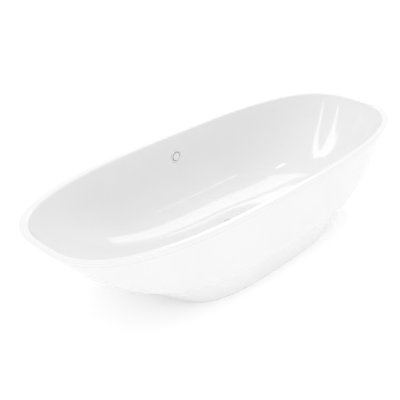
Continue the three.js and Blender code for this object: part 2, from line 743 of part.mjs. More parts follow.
function addPlug() {
  add("plug_cap", plugCap(), CHROME);
  const stem = joined([
    rod(STEM.r, STEM.bottomZ, COLLAR_TOP, 16),
    rod(STEM.collarR, COLLAR_BOTTOM, COLLAR_TOP, 24),
  ]);
  add("plug_stem", stem, PIPE);
  add("plug_seal", tube(PLUG.sealR, PLUG.sealInnerR, COLLAR_BOTTOM, COLLAR_TOP), RUBBER);
  add("plug_cartridge", cartridge(), PIPE);
  add("plug_spring", plugSpring(), STEEL);
}

// Overflow -------------------------------------------------------------------------------------

// The trim ring, with its threaded tail through the wall and a bridge that takes the cap's stem.
function overflowRing() {
  const top = OVERFLOW.ringThickness + TOUCH_GAP;
  const bridge = OVERFLOW_BRIDGE;
  const ring = turned(
    [
      [OVERFLOW.boreR, OVERFLOW_TAIL_Z],
      [OVERFLOW.tailR, OVERFLOW_TAIL_Z],
      [OVERFLOW.tailR, TOUCH_GAP],
      [OVERFLOW.ringR, TOUCH_GAP],
      [OVERFLOW.ringR, top - 1.2],
      [OVERFLOW.ringR - 1.4, top],
      [OVERFLOW.boreR + 1.4, top],
      [OVERFLOW.boreR, top - 1.2],
    ],
    24,
  );
  const bar = block(2 * OVERFLOW.boreR + 1, bridge.width, bridge.thickness, 0, 0, bridge.z);
  const bossTop = bridge.z + bridge.bossHeight;
  const boss = rod(bridge.bossR, bridge.z, bossTop, 16);
  const bore = rod(OVERFLOW_CAP.stemR + TOUCH_GAP, bridge.z - 1, bossTop + 1, 16);
  return joined([ring, bar, boss], [bore]);
}

function overflowCap() {
  const top = OVERFLOW.ringThickness + TOUCH_GAP;
  const face = top - OVERFLOW_CAP.thickness;
  return turned(
    [
      [0, OVERFLOW_CAP.stemZ],
      [OVERFLOW_CAP.stemR, OVERFLOW_CAP.stemZ],
      [OVERFLOW_CAP.stemR, face],
      [OVERFLOW_CAP.r, face],
      [OVERFLOW_CAP.r, top - 0.8],
      [OVERFLOW_CAP.r * 0.7, top - 0.1],
      [0, top + 0.2],
    ],
    24,
  );
}

function overflowBody() {
  const { frontZ, backZ, wall } = OVERFLOW_BODY;
  const flange = rod(OVERFLOW_BODY.flangeR, frontZ - OVERFLOW_FLANGE_THICKNESS, frontZ, 32);
  const chamber = rod(OVERFLOW_BODY.r, backZ, frontZ, 32);
  const spigot = rod(OVERFLOW_SPIGOT.r, OVERFLOW_SPIGOT.from, OVERFLOW_SPIGOT.length, 20);
  const spigotBore = rod(OVERFLOW_SPIGOT.innerR, 0, OVERFLOW_SPIGOT.length + 5, 20);
  for (const piece of [spigot, spigotBore]) {
    piece.rotateX(Math.PI / 2).translate(0, 0, -OVERFLOW_SPIGOT.depth);
  }
  const hollow = rod(OVERFLOW_BODY.innerR, backZ + wall, frontZ + 1, 32);
  return joined([flange, chamber, spigot], [hollow, spigotBore]);
}

// The hose drops between the two skins, turns under the basin and reaches the waste from the side.
function hosePath() {
  const { y, angle } = overflowPlace();
  const lean = Math.PI / 2 - angle;
  const along = OVERFLOW_SPIGOT.length - HOSE.overlap;
  const startY = y - along * Math.sin(lean) + OVERFLOW_SPIGOT.depth * Math.cos(lean);
  const startZ = OVERFLOW.z - along * Math.cos(lean) - OVERFLOW_SPIGOT.depth * Math.sin(lean);
  const endY = HOSE_PORT.endY - HOSE.overlap;
  const route = [
    [startY, startZ],
    [startY - 14 * Math.sin(lean), startZ - 14 * Math.cos(lean)],
    [startY - 3, startZ - 30],
    ...HOSE_ROUTE,
    [endY + 25, HOSE_PORT.z],
    [endY, HOSE_PORT.z],
  ];
  return new THREE.CatmullRomCurve3(route.map(([py, pz]) => new THREE.Vector3(0, py, pz)));
}

// The same curve, drawn out straight past both ends, so that a cut along it leaves them open.
function lengthened(path, by) {
  const points = path.getSpacedPoints(34);
  const first = path.getTangent(0).multiplyScalar(-by).add(points[0]);
  const last = path.getTangent(1).multiplyScalar(by).add(points.at(-1));
  return new THREE.CatmullRomCurve3([first, ...points, last]);
}

function overflowHose() {
  const path = hosePath();
  return joined(
    [swept(path, HOSE.r, HOSE.sides, HOSE.steps)],
    [swept(lengthened(path, 4), HOSE.innerR, HOSE.sides, HOSE.steps)],
  );
}

// A band clamp round the hose, a little way in from one of its ends.
function hoseClamp(along) {
  const path = hosePath();
  const ring = tube(
    HOSE.clampR,
    HOSE.r + TOUCH_GAP,
    -HOSE.clampWidth / 2,
    HOSE.clampWidth / 2,
    20,
  );
  const turn = new THREE.Quaternion();
  turn.setFromUnitVectors(new THREE.Vector3(0, 0, 1), path.getTangentAt(along));
  const centre = path.getPointAt(along);
  return ring.applyQuaternion(turn).translate(centre.x, centre.y, centre.z);
}

function addOverflow() {
  const fitting = placedAtOverflow(new THREE.Group());
  tub.add(fitting);
  add("overflow_ring", overflowRing(), CHROME, fitting);
  add("overflow_cap", overflowCap(), CHROME, fitting);
  const sealBack = OVERFLOW_BODY.frontZ + TOUCH_GAP;
  const sealFront = sealBack + OVERFLOW_SEAL_THICKNESS;
  const seal = tube(OVERFLOW_BODY.flangeR - 1, OVERFLOW.holeR + 0.5, sealBack, sealFront);
  add("overflow_seal", seal, RUBBER, fitting);
  add("overflow_body", overflowBody(), PIPE, fitting);
  add("overflow_hose", overflowHose(), GREY_PLASTIC);
  add("hose_clamp_top", hoseClamp(CLAMP_SHARE), STEEL);
  add("hose_clamp_bottom", hoseClamp(1 - CLAMP_SHARE), STEEL);
}

// The whole bathtub ----------------------------------------------------------------------------

add("basin_shell", basinShell(), ACRYLIC);
add("outer_skirt", outerSkirt(), ACRYLIC);
add("rim_bond_bead", rimBead(), SEALANT);
add("base_plinth", basePlinth(), ACRYLIC);
addCradle();
addFeet();
addWaste();
addPlug();
addOverflow();

export default tub;
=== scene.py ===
"""Freestanding bathtub: the visible pieces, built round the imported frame.

Sizes are in millimetres here, and new_piece() turns them into metres. +Z is up, +X runs along the
length, and the origin is on the floor straight under the drain. Each piece stands for the frame's
node of the same name, rides on that node's body and takes the material of that node's slot. Only
the hose clamps differ: the record has them in zinc_fastener, and here they are in spring_steel.
"""
import json
import math

import bmesh
import bpy
import numpy as np
from mathutils import Matrix, Vector


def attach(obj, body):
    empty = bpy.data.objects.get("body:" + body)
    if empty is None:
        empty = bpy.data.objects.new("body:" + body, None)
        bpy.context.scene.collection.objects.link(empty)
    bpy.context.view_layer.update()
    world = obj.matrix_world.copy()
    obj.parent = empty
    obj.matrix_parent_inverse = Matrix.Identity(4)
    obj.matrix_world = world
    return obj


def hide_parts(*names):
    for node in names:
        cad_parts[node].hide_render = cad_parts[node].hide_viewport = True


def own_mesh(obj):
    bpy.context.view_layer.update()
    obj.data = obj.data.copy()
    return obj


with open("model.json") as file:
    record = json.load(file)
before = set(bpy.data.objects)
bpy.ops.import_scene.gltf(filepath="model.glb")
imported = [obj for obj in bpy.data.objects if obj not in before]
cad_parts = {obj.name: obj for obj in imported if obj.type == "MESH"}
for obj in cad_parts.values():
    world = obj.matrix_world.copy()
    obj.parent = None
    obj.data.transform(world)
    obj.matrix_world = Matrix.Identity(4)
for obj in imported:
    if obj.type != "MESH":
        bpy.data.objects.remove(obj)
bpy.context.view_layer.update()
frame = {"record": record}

MM = 0.001
TOUCH_GAP = 0.3  # between pieces that rest on each other
RING_POINTS = 256  # round the large oval sections
SIGNS = (-1, 1)

# Skins
HALF_LENGTH = 900
HALF_WIDTH = 358
HEIGHT = 400
OUTLINE_POWER = 2.94
HULL_CURVE = {"end": 1.19, "side": 4.4, "round": 2.62, "squarer": 0.30}
BASIN_CURVE = {"end": 1.25, "end_round": 2.9, "side": 3.6, "side_round": 2.4, "softer": 0.54}
RIM_WIDTH = 28
RIM_THICKNESS = 9
RIM_LIP_DROP = 16
RIM_EDGE = 8
RIM_EDGE_BULGE = 3.4
RIM_EDGE_Z = 393
RIM_LIP_Z = 387
RIM_ROLL = 9
RIM_ROLL_DEPTH = 0.028  # how deep in the basin the rim's roll ends
BASIN_WALL = 6
SKIRT_WALL = 5
SKIRT_FLANGE = 20
SKIRT_FOLD = 6  # radius of the fold at the skirt's foot
SEAM_STEP = 3
KEEL_Z = 15
HULL_FOOT_Z = 130
PLINTH = {"a": 444, "b": 276, "power": 3.43, "wall": 6, "flange": 22}
FLOOR_Z = 80
PAD = {"a": 300, "b": 112, "power": 2.4, "z": 74}
DRAIN_HOLE_R = 26
DRAIN_RECESS_R = 38
DRAIN_RECESS_Z = 78

# Cradle
BOARD = {"a": 290, "b": 104, "power": 2.4, "hole": 68, "top": 73.7, "bottom": 61.7}
RAIL = {"half_length": 340, "y": 86, "width": 30, "top": 61.4, "bottom": 49.4, "wall": 2}
BAR = {"x": 290, "half_length": 205, "width": 44, "top": 49.1, "thickness": 3, "height": 25}
SCREW = {"x": 150, "r": 2.2, "pitch": 1.8, "head": 5, "head_height": 3, "top": 49.1, "tip": 70.7}
BOLT = {"r": 4, "flats": 13, "head": 5.5, "from": 45.8, "to": 71.9, "nut": 6.5}
FOOT = {"x": 290, "y": 172, "pad_r": 23, "pad_height": 14, "boss_r": 11, "socket_r": 6.6}
STUD = {"r": 6, "bottom": 3.8, "top": 66, "flats_from": 15, "flats_to": 21, "flats": 15}
FOOT_NUT = {"flats": 19, "height": 8, "lock_from": 37.8, "weld_from": 49.4}
M12_PITCH = 1.75
M8_PITCH = 1.25
HEX_STEPS = 72  # points round a hexagon
CHAMFER_DEGREES = 28
BORE_CHAMFER = 0.8

# Waste
FLANGE = {"r": 34, "bottom": 79.8, "top": 82.2, "tail_r": 23.5, "bore": 20, "tail_z": 52}
WASTE = {"flange_r": 42, "r": 34, "inner_r": 30, "throat_r": 23.9, "top": 70.4, "bottom": 12}
WASTE_TOP_WALL = 4.4
WASTE_RIB = {"reach": 8, "drop": 18, "half_width": 1.2, "at": (45, 135, 225, 315, 0)}
UPPER_SEAL_TOP = DRAIN_RECESS_Z + 1.5
LOWER_SEAL = {"r": 40, "inner_r": 26.5, "top": 73.7}
CUP = {"r": 38, "inner_r": 34.8, "bottom": 5, "top": 19, "floor": 3}
BAFFLE = {"r": 28.6, "wall": 2, "bottom": 16, "half_angle": 1.05}
OUTLET = {"z": 40, "r": 20, "inner_r": 17.5, "spigot_r": 17, "spigot_inner": 14.5, "end": 180}
OUTLET_NUT = {"r": 25, "from": 42, "to": 62}
PIPE_FROM = OUTLET_NUT["to"] - 6  # the spigot ends and the pipe starts here
TO_OUTLET, TO_HOSE = 180, 90  # degrees round from +X
HOSE_PORT = {"z": 36, "r": 6.5, "inner_r": 5.2, "end": 62}

# Plug
PLUG = {"r": 31, "bottom": 90.6, "height": 4.2, "seal_r": 19.3, "seal_inner": 9}
STEM = {"r": 3, "bottom": 60, "collar_r": 8, "collar_from": 86.9, "collar_to": 90.3}
CARTRIDGE = {"bottom": 62, "top": 72, "boss_r": 8, "arm_width": 4, "arm_r": 19.2}
SPRING = {"r": 5, "wire": 0.6, "turns": 5, "from": 72.3, "to": 86.6}

# Overflow, in the +Y wall
OVERFLOW_Z = 296
OVERFLOW = {"hole": 24, "ring_r": 27.6, "top": 2.9, "tail_r": 23, "bore": 20.4, "tail_z": -17.5}
BRIDGE = {"bottom": -16, "boss_r": 6, "boss_top": -11}
CAP = {"r": 18.6, "thickness": 2.4, "stem_r": 3, "stem_z": -14}
BODY = {"flange_r": 33, "r": 29, "inner_r": 23.4, "front": -8.7, "back": -20.7, "wall": 1.8}
SPIGOT = {"r": 6.5, "inner_r": 5.2, "depth": 15.4, "length": 50}
SEAT_BACK = -5.7
HOSE = {"r": 8.8, "inner_r": 7.3, "rib": 3.2, "cuff": 16, "overlap": 13}
CLAMP = {"r": 9.9, "width": 8}


# Oval sections: each is an array (half length, half width, power, height)

def ring(a, b, power, z):
    return np.array([a, b, power, z], float)


def circle(r, z):
    return ring(r, r, 2, z)


def hull_ring(z):
    depth = (HEIGHT - z) / (HEIGHT - KEEL_Z)
    a = HALF_LENGTH * (1 - depth ** HULL_CURVE["end"]) ** (1 / HULL_CURVE["round"])
    b = HALF_WIDTH * (1 - depth ** HULL_CURVE["side"]) ** (1 / HULL_CURVE["round"])
    return ring(a, b, OUTLINE_POWER + HULL_CURVE["squarer"] * depth, z)


def basin_ring(depth, grow=0):
    """The basin's section at a depth from 0, the rim, to 1, the floor; grow is 0 inside."""
    c = BASIN_CURVE
    top = HEIGHT - grow / 2
    a = (HALF_LENGTH - RIM_WIDTH + grow) * (1 - depth ** c["end"]) ** (1 / c["end_round"])
    b = (HALF_WIDTH - RIM_WIDTH + grow) * (1 - depth ** c["side"]) ** (1 / c["side_round"])
    return ring(a, b, OUTLINE_POWER - c["softer"] * depth, top - depth * (top - FLOOR_Z + grow))


def inset(section, by, z=None):
    a, b, power, height = section
    return ring(a - by, b - by, power, height if z is None else z)


def plinth_ring(z):
    top = inset(hull_ring(HULL_FOOT_Z), SEAM_STEP)
    rise = z / HULL_FOOT_Z
    foot = ring(PLINTH["a"], PLINTH["b"], PLINTH["power"], 0)
    section = foot + (top - foot) * rise
    section[3] = z
    return section


def inner_face(section, z, wall):
    """The inside of a wall at a height, moved in square to the wall's slope."""
    here = section(z)
    below = section(z - 1)
    a = here[0] - wall * math.hypot(1, here[0] - below[0])
    b = here[1] - wall * math.hypot(1, here[1] - below[1])
    return ring(a, b, here[2], z)


def curve(first, control, last, steps):
    """Steps from first to last along a quadratic curve, both ends included."""
    t = np.linspace(0, 1, steps + 1)[:, None]
    return list((1 - t) ** 2 * first + 2 * t * (1 - t) * control + t ** 2 * last)


def rounded(corners, radius, steps=4, closed=True):
    """Turns corners, of any kind of point, into curves; an open line's ends stay as they are."""
    corners = [np.array(c, float) for c in corners]
    radii = radius if isinstance(radius, (list, tuple)) else [radius] * len(corners)
    out = []
    for i, (corner, r) in enumerate(zip(corners, radii)):
        if r == 0 or (not closed and i in (0, len(corners) - 1)):
            out.append(corner)
            continue
        back = corners[i - 1] - corner
        ahead = corners[(i + 1) % len(corners)] - corner
        start = corner + back * min(0.49, r / max(np.linalg.norm(back), 1e-6))
        end = corner + ahead * min(0.49, r / max(np.linalg.norm(ahead), 1e-6))
        out += curve(start, corner, end, steps)
    return out


def section_points(section, count=RING_POINTS):
    """Points evenly spaced along the edge of an oval section."""
    a, b, power, z = section
    angle = np.linspace(0, math.pi / 2, 721)
    r = ((np.cos(angle) / a) ** power + (np.sin(angle) / b) ** power) ** (-1 / power)
    x, y = r * np.cos(angle), r * np.sin(angle)
    along = np.r_[0, np.cumsum(np.hypot(np.diff(x), np.diff(y)))]
    wanted = np.linspace(0, along[-1], count // 4 + 1)[:-1]
    qx, qy = np.interp(wanted, along, x), np.interp(wanted, along, y)
    fx, fy = np.interp(along[-1] - wanted, along, x), np.interp(along[-1] - wanted, along, y)
    xs = np.r_[qx, -fx, -qx, fx]
    ys = np.r_[qy, fy, -qy, -fy]
    return np.c_[xs, ys, np.full(len(xs), z)]


def section_rows(sections, count=RING_POINTS):
    return [section_points(s, count) for s in sections]


# Meshes

def new_object(name, data):
    obj = bpy.data.objects.new(name, data)
    bpy.context.scene.collection.objects.link(obj)
    return obj


def new_piece(name, points, faces, sharp=35):
    """A closed, smooth-shaded object whose edges sharper than an angle stay sharp."""
    mesh = bpy.data.meshes.new(name)
    mesh.from_pydata((np.asarray(points) * MM).tolist(), [], faces)
    obj = new_object(name, mesh)
    tidy_mesh(obj, sharp)
    return obj


def tidy_mesh(obj, sharp=35):
    mesh = obj.data
    work = bmesh.new()
    work.from_mesh(mesh)
    bmesh.ops.remove_doubles(work, verts=work.verts, dist=1e-7)
    bmesh.ops.dissolve_degenerate(work, dist=1e-8, edges=work.edges)
    bmesh.ops.recalc_face_normals(work, faces=work.faces)
    work.to_mesh(mesh)
    work.free()
    mesh.shade_smooth()
    mesh.set_sharp_from_angle(angle=math.radians(sharp))


def grid_piece(name, rows, closed=True, sharp=35, caps=False):
    """A skin through rows of points, each row a loop; closed joins the last row to the first."""
    count = len(rows[0])
    points = np.concatenate(rows)
    faces = []
    for row in range(len(rows) if closed else len(rows) - 1):
        here = row * count
        after = ((row + 1) % len(rows)) * count
        for i in range(count):
            j = (i + 1) % count
            faces.append((here + i, here + j, after + j, after + i))
    if caps:
        faces.append(tuple(range(count)))
        faces.append(tuple(range(len(points) - count, len(points))))
    return new_piece(name, points, faces, sharp)


def angles_round(steps):
    return np.arange(steps) * 2 * math.pi / steps


def around(radius, z, steps):
    """A row of points round Z; radius and z are numbers, or arrays with one for each point."""
    angles = angles_round(steps)
    return np.c_[radius * np.cos(angles), radius * np.sin(angles), np.full(steps, z)]


def plain_rows(outline, steps=32):
    return [around(r, z, steps) for r, z in outline]


def turned(name, outline, steps=64, grip=None):
    """A solid turned about Z from (radius, height) points; grip(radius, angles) may change the
    radius round the turn."""
    angles = angles_round(steps)
    rows = [around(grip(r, angles) if grip else r, z, steps) for r, z in outline]
    on_axis = outline[0][0] == 0
    return grid_piece(name, rows, closed=not on_axis)


def prism(name, outline, start, end, bevel=0.4):
    """A bar of one flat outline in X and Y, from one height to another, with small bevels."""
    flat = np.array(outline, float)
    rows = [np.c_[flat, np.full(len(flat), z)] for z in (start, end)]
    obj = grid_piece(name, rows, closed=False, caps=True)
    if bevel:
        soften(obj, bevel)
    return obj


def soften(obj, width, segments=2):
    modifier = obj.modifiers.new("bevel", "BEVEL")
    modifier.width = width * MM
    modifier.segments = segments
    modifier.limit_method = "ANGLE"
    modifier.angle_limit = math.radians(40)
    apply_modifiers(obj)


def apply_modifiers(obj):
    bpy.context.view_layer.update()
    graph = bpy.context.evaluated_depsgraph_get()
    mesh = bpy.data.meshes.new_from_object(obj.evaluated_get(graph))
    obj.modifiers.clear()
    obj.data = mesh
    tidy_mesh(obj)


def combine(obj, others, operation):
    """Applies a boolean of obj with each of the others, and removes the others."""
    for other in others:
        modifier = obj.modifiers.new("boolean", "BOOLEAN")
        modifier.operation = operation
        modifier.object = other
        modifier.solver = "EXACT"
    apply_modifiers(obj)
    for other in others:
        bpy.data.objects.remove(other)
    return obj


def join(obj, others):
    return combine(obj, others, "UNION")


def cut(obj, others):
    return combine(obj, others, "DIFFERENCE")


def moved(obj, *matrices):
    """Moves an object's mesh by matrices in millimetres, the first one first."""
    for matrix in matrices:
        metres = matrix.copy()
        metres.translation = matrix.translation * MM
        obj.data.transform(metres)
    return obj


def shift(x, y, z):
    return Matrix.Translation((x, y, z))


def spin(degrees, axis):
    return Matrix.Rotation(math.radians(degrees), 4, axis)


def rod(r, start, end, steps=48):
    return turned("rod", [(0, start), (r, start), (r, end), (0, end)], steps)


def slab(width, depth, height):
    x, y = width / 2, depth / 2
    return prism("slab", [(-x, -y), (x, -y), (x, y), (-x, y)], 0, height, bevel=0)


# Fastener shapes

def thread_rows(r, pitch, start, end, steps=32, per_turn=6):
    """Rows of a helical thread whose crests are at r, fading out at both ends."""
    depth = 0.6 * pitch
    angles = angles_round(steps)
    rows = []
    for z in np.arange(start, end, pitch / per_turn):
        phase = (z / pitch - angles / (2 * math.pi)) % 1
        groove = np.clip(1.25 - 2.5 * np.abs(phase - 0.5), 0, 1)
        fade = min(1, (z - start) / pitch, (end - z) / pitch)
        rows.append(around(r - depth * groove * max(fade, 0), z, steps))
    return rows


def hex_rows(flats, start, end, chamfer_both=True):
    """Rows up a hexagon whose corners are turned down to a cone at one end or both."""
    sixth = math.pi / 3
    corner = flats / 2 / np.cos((angles_round(HEX_STEPS) + sixth / 2) % sixth - sixth / 2)
    edge = 0.48 * flats
    drop = (corner - edge) * math.tan(math.radians(CHAMFER_DEGREES))
    low = [(edge, start), (corner, start + drop)] if chamfer_both else [(corner, start)] * 2
    return plain_rows(low + [(corner, end - drop), (edge, end)], HEX_STEPS)


def nut(name, flats, bore, start, end):
    """A hexagon nut with chamfers at both faces and in its bore."""
    step = BORE_CHAMFER
    inside = [(bore + step, end), (bore, end - step), (bore, start + step), (bore + step, start)]
    return grid_piece(name, hex_rows(flats, start, end) + plain_rows(inside, HEX_STEPS))


def hex_head(name, flats, start, end):
    rows = hex_rows(flats, start, end, chamfer_both=False)[::-1]
    low, high = plain_rows([(0, start)], HEX_STEPS), plain_rows([(0, end)], HEX_STEPS)
    return grid_piece(name, high + rows + low, closed=False)


# Skins

def floor_height(x, y):
    """The height of the basin's inner face at a point of its floor, by halving."""
    low, high = np.full(len(x), 0.9), np.full(len(x), 1.0)
    for _ in range(40):
        depth = (low + high) / 2
        a, b, power, _z = basin_ring(depth)
        outside = (np.abs(x) / a) ** power + (np.abs(y) / b) ** power > 1
        low, high = np.where(outside, low, depth), np.where(outside, depth, high)
    return HEIGHT - (low + high) / 2 * (HEIGHT - FLOOR_Z)


def basin_floor_rows(edge):
    """Rows from the drain's recess out to an oval edge, lying on the basin's own surface."""
    rows = section_rows(rounded(
        [circle(DRAIN_HOLE_R, DRAIN_RECESS_Z), circle(DRAIN_RECESS_R, DRAIN_RECESS_Z),
         circle(DRAIN_RECESS_R + 1.2, FLOOR_Z - 0.2)], [0.6, 1.2, 0], closed=False))
    first = circle(DRAIN_RECESS_R + 2.4, FLOOR_Z)
    for step in np.linspace(0, 1, 16):
        row = section_points(first + (edge - first) * step ** 1.3)
        row[:, 2] = floor_height(row[:, 0], row[:, 1])
        rows.append(row)
    return rows


def basin_depths(count, first, last):
    """Depths that get closer together towards the floor."""
    steps = np.linspace((1 - first) ** (1 / 2.2), (1 - last) ** (1 / 2.2), count)
    return 1 - steps ** 2.2


def basin_shell():
    rim = hull_ring(HEIGHT)
    lip = hull_ring(HEIGHT - RIM_LIP_DROP)
    under_rim = HEIGHT - RIM_THICKNESS
    roll_end = basin_ring(RIM_ROLL_DEPTH)
    roll = curve(roll_end, basin_ring(0), inset(rim, RIM_WIDTH - RIM_ROLL), 8)
    bulge = rim + ring(RIM_EDGE_BULGE, 0, 0, 0)  # the curve towards it reaches the full length
    edge = curve(inset(rim, RIM_EDGE), bulge, hull_ring(RIM_EDGE_Z), 8)
    inside = [basin_ring(d) for d in basin_depths(52, 0.985, RIM_ROLL_DEPTH)]
    outside = [basin_ring(d, BASIN_WALL) for d in basin_depths(26, RIM_ROLL_DEPTH, 0.95)]
    outside[0][3] = under_rim
    pad = ring(PAD["a"], PAD["b"], PAD["power"], PAD["z"])
    underside = rounded([outside[-1], pad, circle(DRAIN_HOLE_R, PAD["z"])], 8, 3, closed=False)
    lip_turn = rounded([hull_ring(RIM_LIP_Z), lip, inset(lip, BASIN_WALL),
                        inset(hull_ring(under_rim), BASIN_WALL)], 0.7, 2, closed=False)
    rows = basin_floor_rows(inside[0]) + section_rows(
        inside[1:-1] + roll + edge + [hull_ring((RIM_EDGE_Z + RIM_LIP_Z) / 2)] + lip_turn
        + outside + underside[1:])
    shell = grid_piece("basin_shell", rows, sharp=50)
    inwards, outwards = 20, -30
    cuts = [at_overflow(rod(r, start, end, 64)) for r, start, end in (
        (OVERFLOW["hole"], outwards, inwards),
        (OVERFLOW["ring_r"] + 0.6, 0, inwards),
        (BODY["flange_r"] + 1, outwards, SEAT_BACK),
    )]
    return cut(shell, cuts)


def outer_skirt():
    top = HEIGHT - RIM_LIP_DROP - TOUCH_GAP
    outside = [hull_ring(z) for z in np.linspace(top - 1, HULL_FOOT_Z + SKIRT_FOLD, 60)]
    foot = hull_ring(HULL_FOOT_Z)
    fold = curve(outside[-1], foot, inset(foot, SKIRT_FOLD), 8)
    flange_top = HULL_FOOT_Z + SKIRT_WALL
    flange = rounded([fold[-1], inset(foot, SKIRT_FLANGE + SKIRT_WALL),
                      inset(foot, SKIRT_FLANGE + SKIRT_WALL, flange_top),
                      inner_face(hull_ring, flange_top, SKIRT_WALL)], 1.5, 3, closed=False)
    inside = [inner_face(hull_ring, z, SKIRT_WALL) for z in np.linspace(flange_top + 4, top, 30)]
    lip = rounded([inside[-1], hull_ring(top), outside[0]], 0.5, 2, closed=False)
    rows = section_rows(outside + fold[1:] + flange[1:] + inside + lip[1:-1])
    return grid_piece("outer_skirt", rows, sharp=50)


def rim_bond_bead():
    top = HEIGHT - RIM_THICKNESS - TOUCH_GAP
    lip = HEIGHT - RIM_LIP_DROP - TOUCH_GAP
    low = inner_face(hull_ring, lip - 7, SKIRT_WALL)
    corners = [inset(hull_ring(top), BASIN_WALL + TOUCH_GAP),
               inset(hull_ring(lip), BASIN_WALL + TOUCH_GAP),
               inset(low, 2), inset(low, 7), inset(hull_ring(top), BASIN_WALL + 6)]
    return grid_piece("rim_bond_bead", section_rows(rounded(corners, 2.5, 3)))


def base_plinth():
    top = HULL_FOOT_Z - TOUCH_GAP
    wall, flange = PLINTH["wall"], PLINTH["flange"]
    inner_top = top - wall
    outside = rounded([inset(plinth_ring(0), flange), plinth_ring(0)]
                      + [plinth_ring(z) for z in np.linspace(10, top - 10, 14)]
                      + [plinth_ring(top), inset(plinth_ring(top), flange)],
                      [1, 2] + [0] * 14 + [4, 1], 5, closed=False)
    inside = [inner_face(plinth_ring, z, wall) for z in np.linspace(inner_top, wall, 8)]
    rows = section_rows(outside + [inset(plinth_ring(top), flange, inner_top)] + inside
                        + [inset(plinth_ring(0), flange, wall)])
    return grid_piece("base_plinth", rows, sharp=50)


# Cradle

def base_board():
    edge = ring(BOARD["a"], BOARD["b"], BOARD["power"], BOARD["top"])
    corners = [edge, inset(edge, 0, BOARD["bottom"]), circle(BOARD["hole"], BOARD["bottom"]),
               circle(BOARD["hole"], BOARD["top"])]
    return grid_piece("base_board", section_rows(rounded(corners, 1.2, 3)))


def rounded_box(width, height, radius, steps=5):
    x, y = width / 2, height / 2
    return rounded([(-x, -y), (x, -y), (x, y), (-x, y)], radius, steps)


def rail(name, y):
    """A rectangular steel tube along X, open at both ends and drilled for bolts and screws."""
    middle = (RAIL["top"] + RAIL["bottom"]) / 2
    height = RAIL["top"] - RAIL["bottom"]
    wall = RAIL["wall"]
    outer = np.array(rounded_box(RAIL["width"], height, 2.6))
    inner = np.array(rounded_box(RAIL["width"] - 2 * wall, height - 2 * wall, 1.0))
    rows = []
    for loop, x in ((outer, -1), (outer, 1), (inner, 1), (inner, -1)):
        ends = np.full(len(loop), x * RAIL["half_length"])
        rows.append(np.c_[ends, loop[:, 0] + y, loop[:, 1] + middle])
    tube = grid_piece(name, rows)
    drills = [moved(rod(r + TOUCH_GAP, 40, 70, 32), shift(sx * x, y, 0))
              for sx in SIGNS for r, x in ((SCREW["r"], SCREW["x"]), (BOLT["r"], BAR["x"]))]
    return cut(tube, drills)


def cross_bar(name, sx):
    """A steel angle along Y: a flat web with one edge turned down."""
    half, t, drop = BAR["width"] / 2, BAR["thickness"], BAR["height"]
    outline = [(-half, 0), (half, 0), (half, -drop), (half - t, -drop), (half - t, -t), (-half, -t)]
    outline = rounded(outline, [0.8, 4, 1, 1, 2, 0.8], 5)
    bar = prism(name, outline, -BAR["half_length"], BAR["half_length"], bevel=0.3)
    moved(bar, spin(90, "X"))
    if sx < 0:
        moved(bar, spin(180, "Z"))
    moved(bar, shift(sx * BAR["x"], 0, BAR["top"]))
    drills = [moved(rod(r, 20, 70, 32), shift(sx * BAR["x"], sy * y, 0))
              for sy in SIGNS for r, y in ((BOLT["r"] + TOUCH_GAP, RAIL["y"]),
                                           (STUD["r"] + 0.5, FOOT["y"]))]
    return cut(bar, drills)


def board_screw(name):
    """A pan-head wood screw, head down, with a cross recess in the head."""
    r, head_r, top = SCREW["r"], SCREW["head"], SCREW["top"]
    bottom = top - SCREW["head_height"]
    tip_from = SCREW["tip"] - 3
    head = rounded([(0, bottom), (head_r, bottom), (head_r, top), (r, top)], [0, 2, 0.3, 0], 4,
                   closed=False)
    thread = thread_rows(r, SCREW["pitch"], top + 1, tip_from)
    tip = plain_rows([(r * 0.8, tip_from), (0, SCREW["tip"])])
    screw = grid_piece(name, plain_rows(head) + thread + tip, closed=False)
    cross = [moved(slab(5, 1.1, 2), spin(angle, "Z"), shift(0, 0, bottom - 0.5))
             for angle in (0, 90)]
    return cut(screw, cross)


def frame_bolt(name):
    """A hexagon bolt, head down, threaded up to its end."""
    start = BOLT["from"]
    head = moved(hex_head(name, BOLT["flats"], 0, BOLT["head"]), spin(180, "X"), shift(0, 0, start))
    top = BOLT["to"]
    rows = (plain_rows([(0, start - 1), (BOLT["r"], start - 1), (BOLT["r"], start + 6)])
            + thread_rows(BOLT["r"], M8_PITCH, start + 6.2, top - 1)
            + plain_rows([(BOLT["r"], top - 0.9), (BOLT["r"] - 0.9, top), (0, top)]))
    shank = grid_piece("shank", rows, closed=False)
    return join(head, [shank])


# Levelling feet

def foot_pad(name):
    """A rubber foot with a socket for the stud and three grooves in its sole."""
    sole = [(0, 0)]
    for r in (7, 12.5, 18):
        sole += [(r, 0), (r + 0.4, 0.9), (r + 1.6, 0.9), (r + 2, 0)]
    rim = rounded([(20.5, 0), (FOOT["pad_r"], 0.4), (FOOT["pad_r"], 5), (FOOT["boss_r"] + 1, 7.5),
                   (FOOT["boss_r"], FOOT["pad_height"]), (FOOT["socket_r"], FOOT["pad_height"]),
                   (FOOT["socket_r"], 3.5), (0, 3.5)], [0, 1.2, 1.5, 3, 1.2, 0.8, 1, 0], 4,
                  closed=False)
    return turned(name, sole + rim, 48)


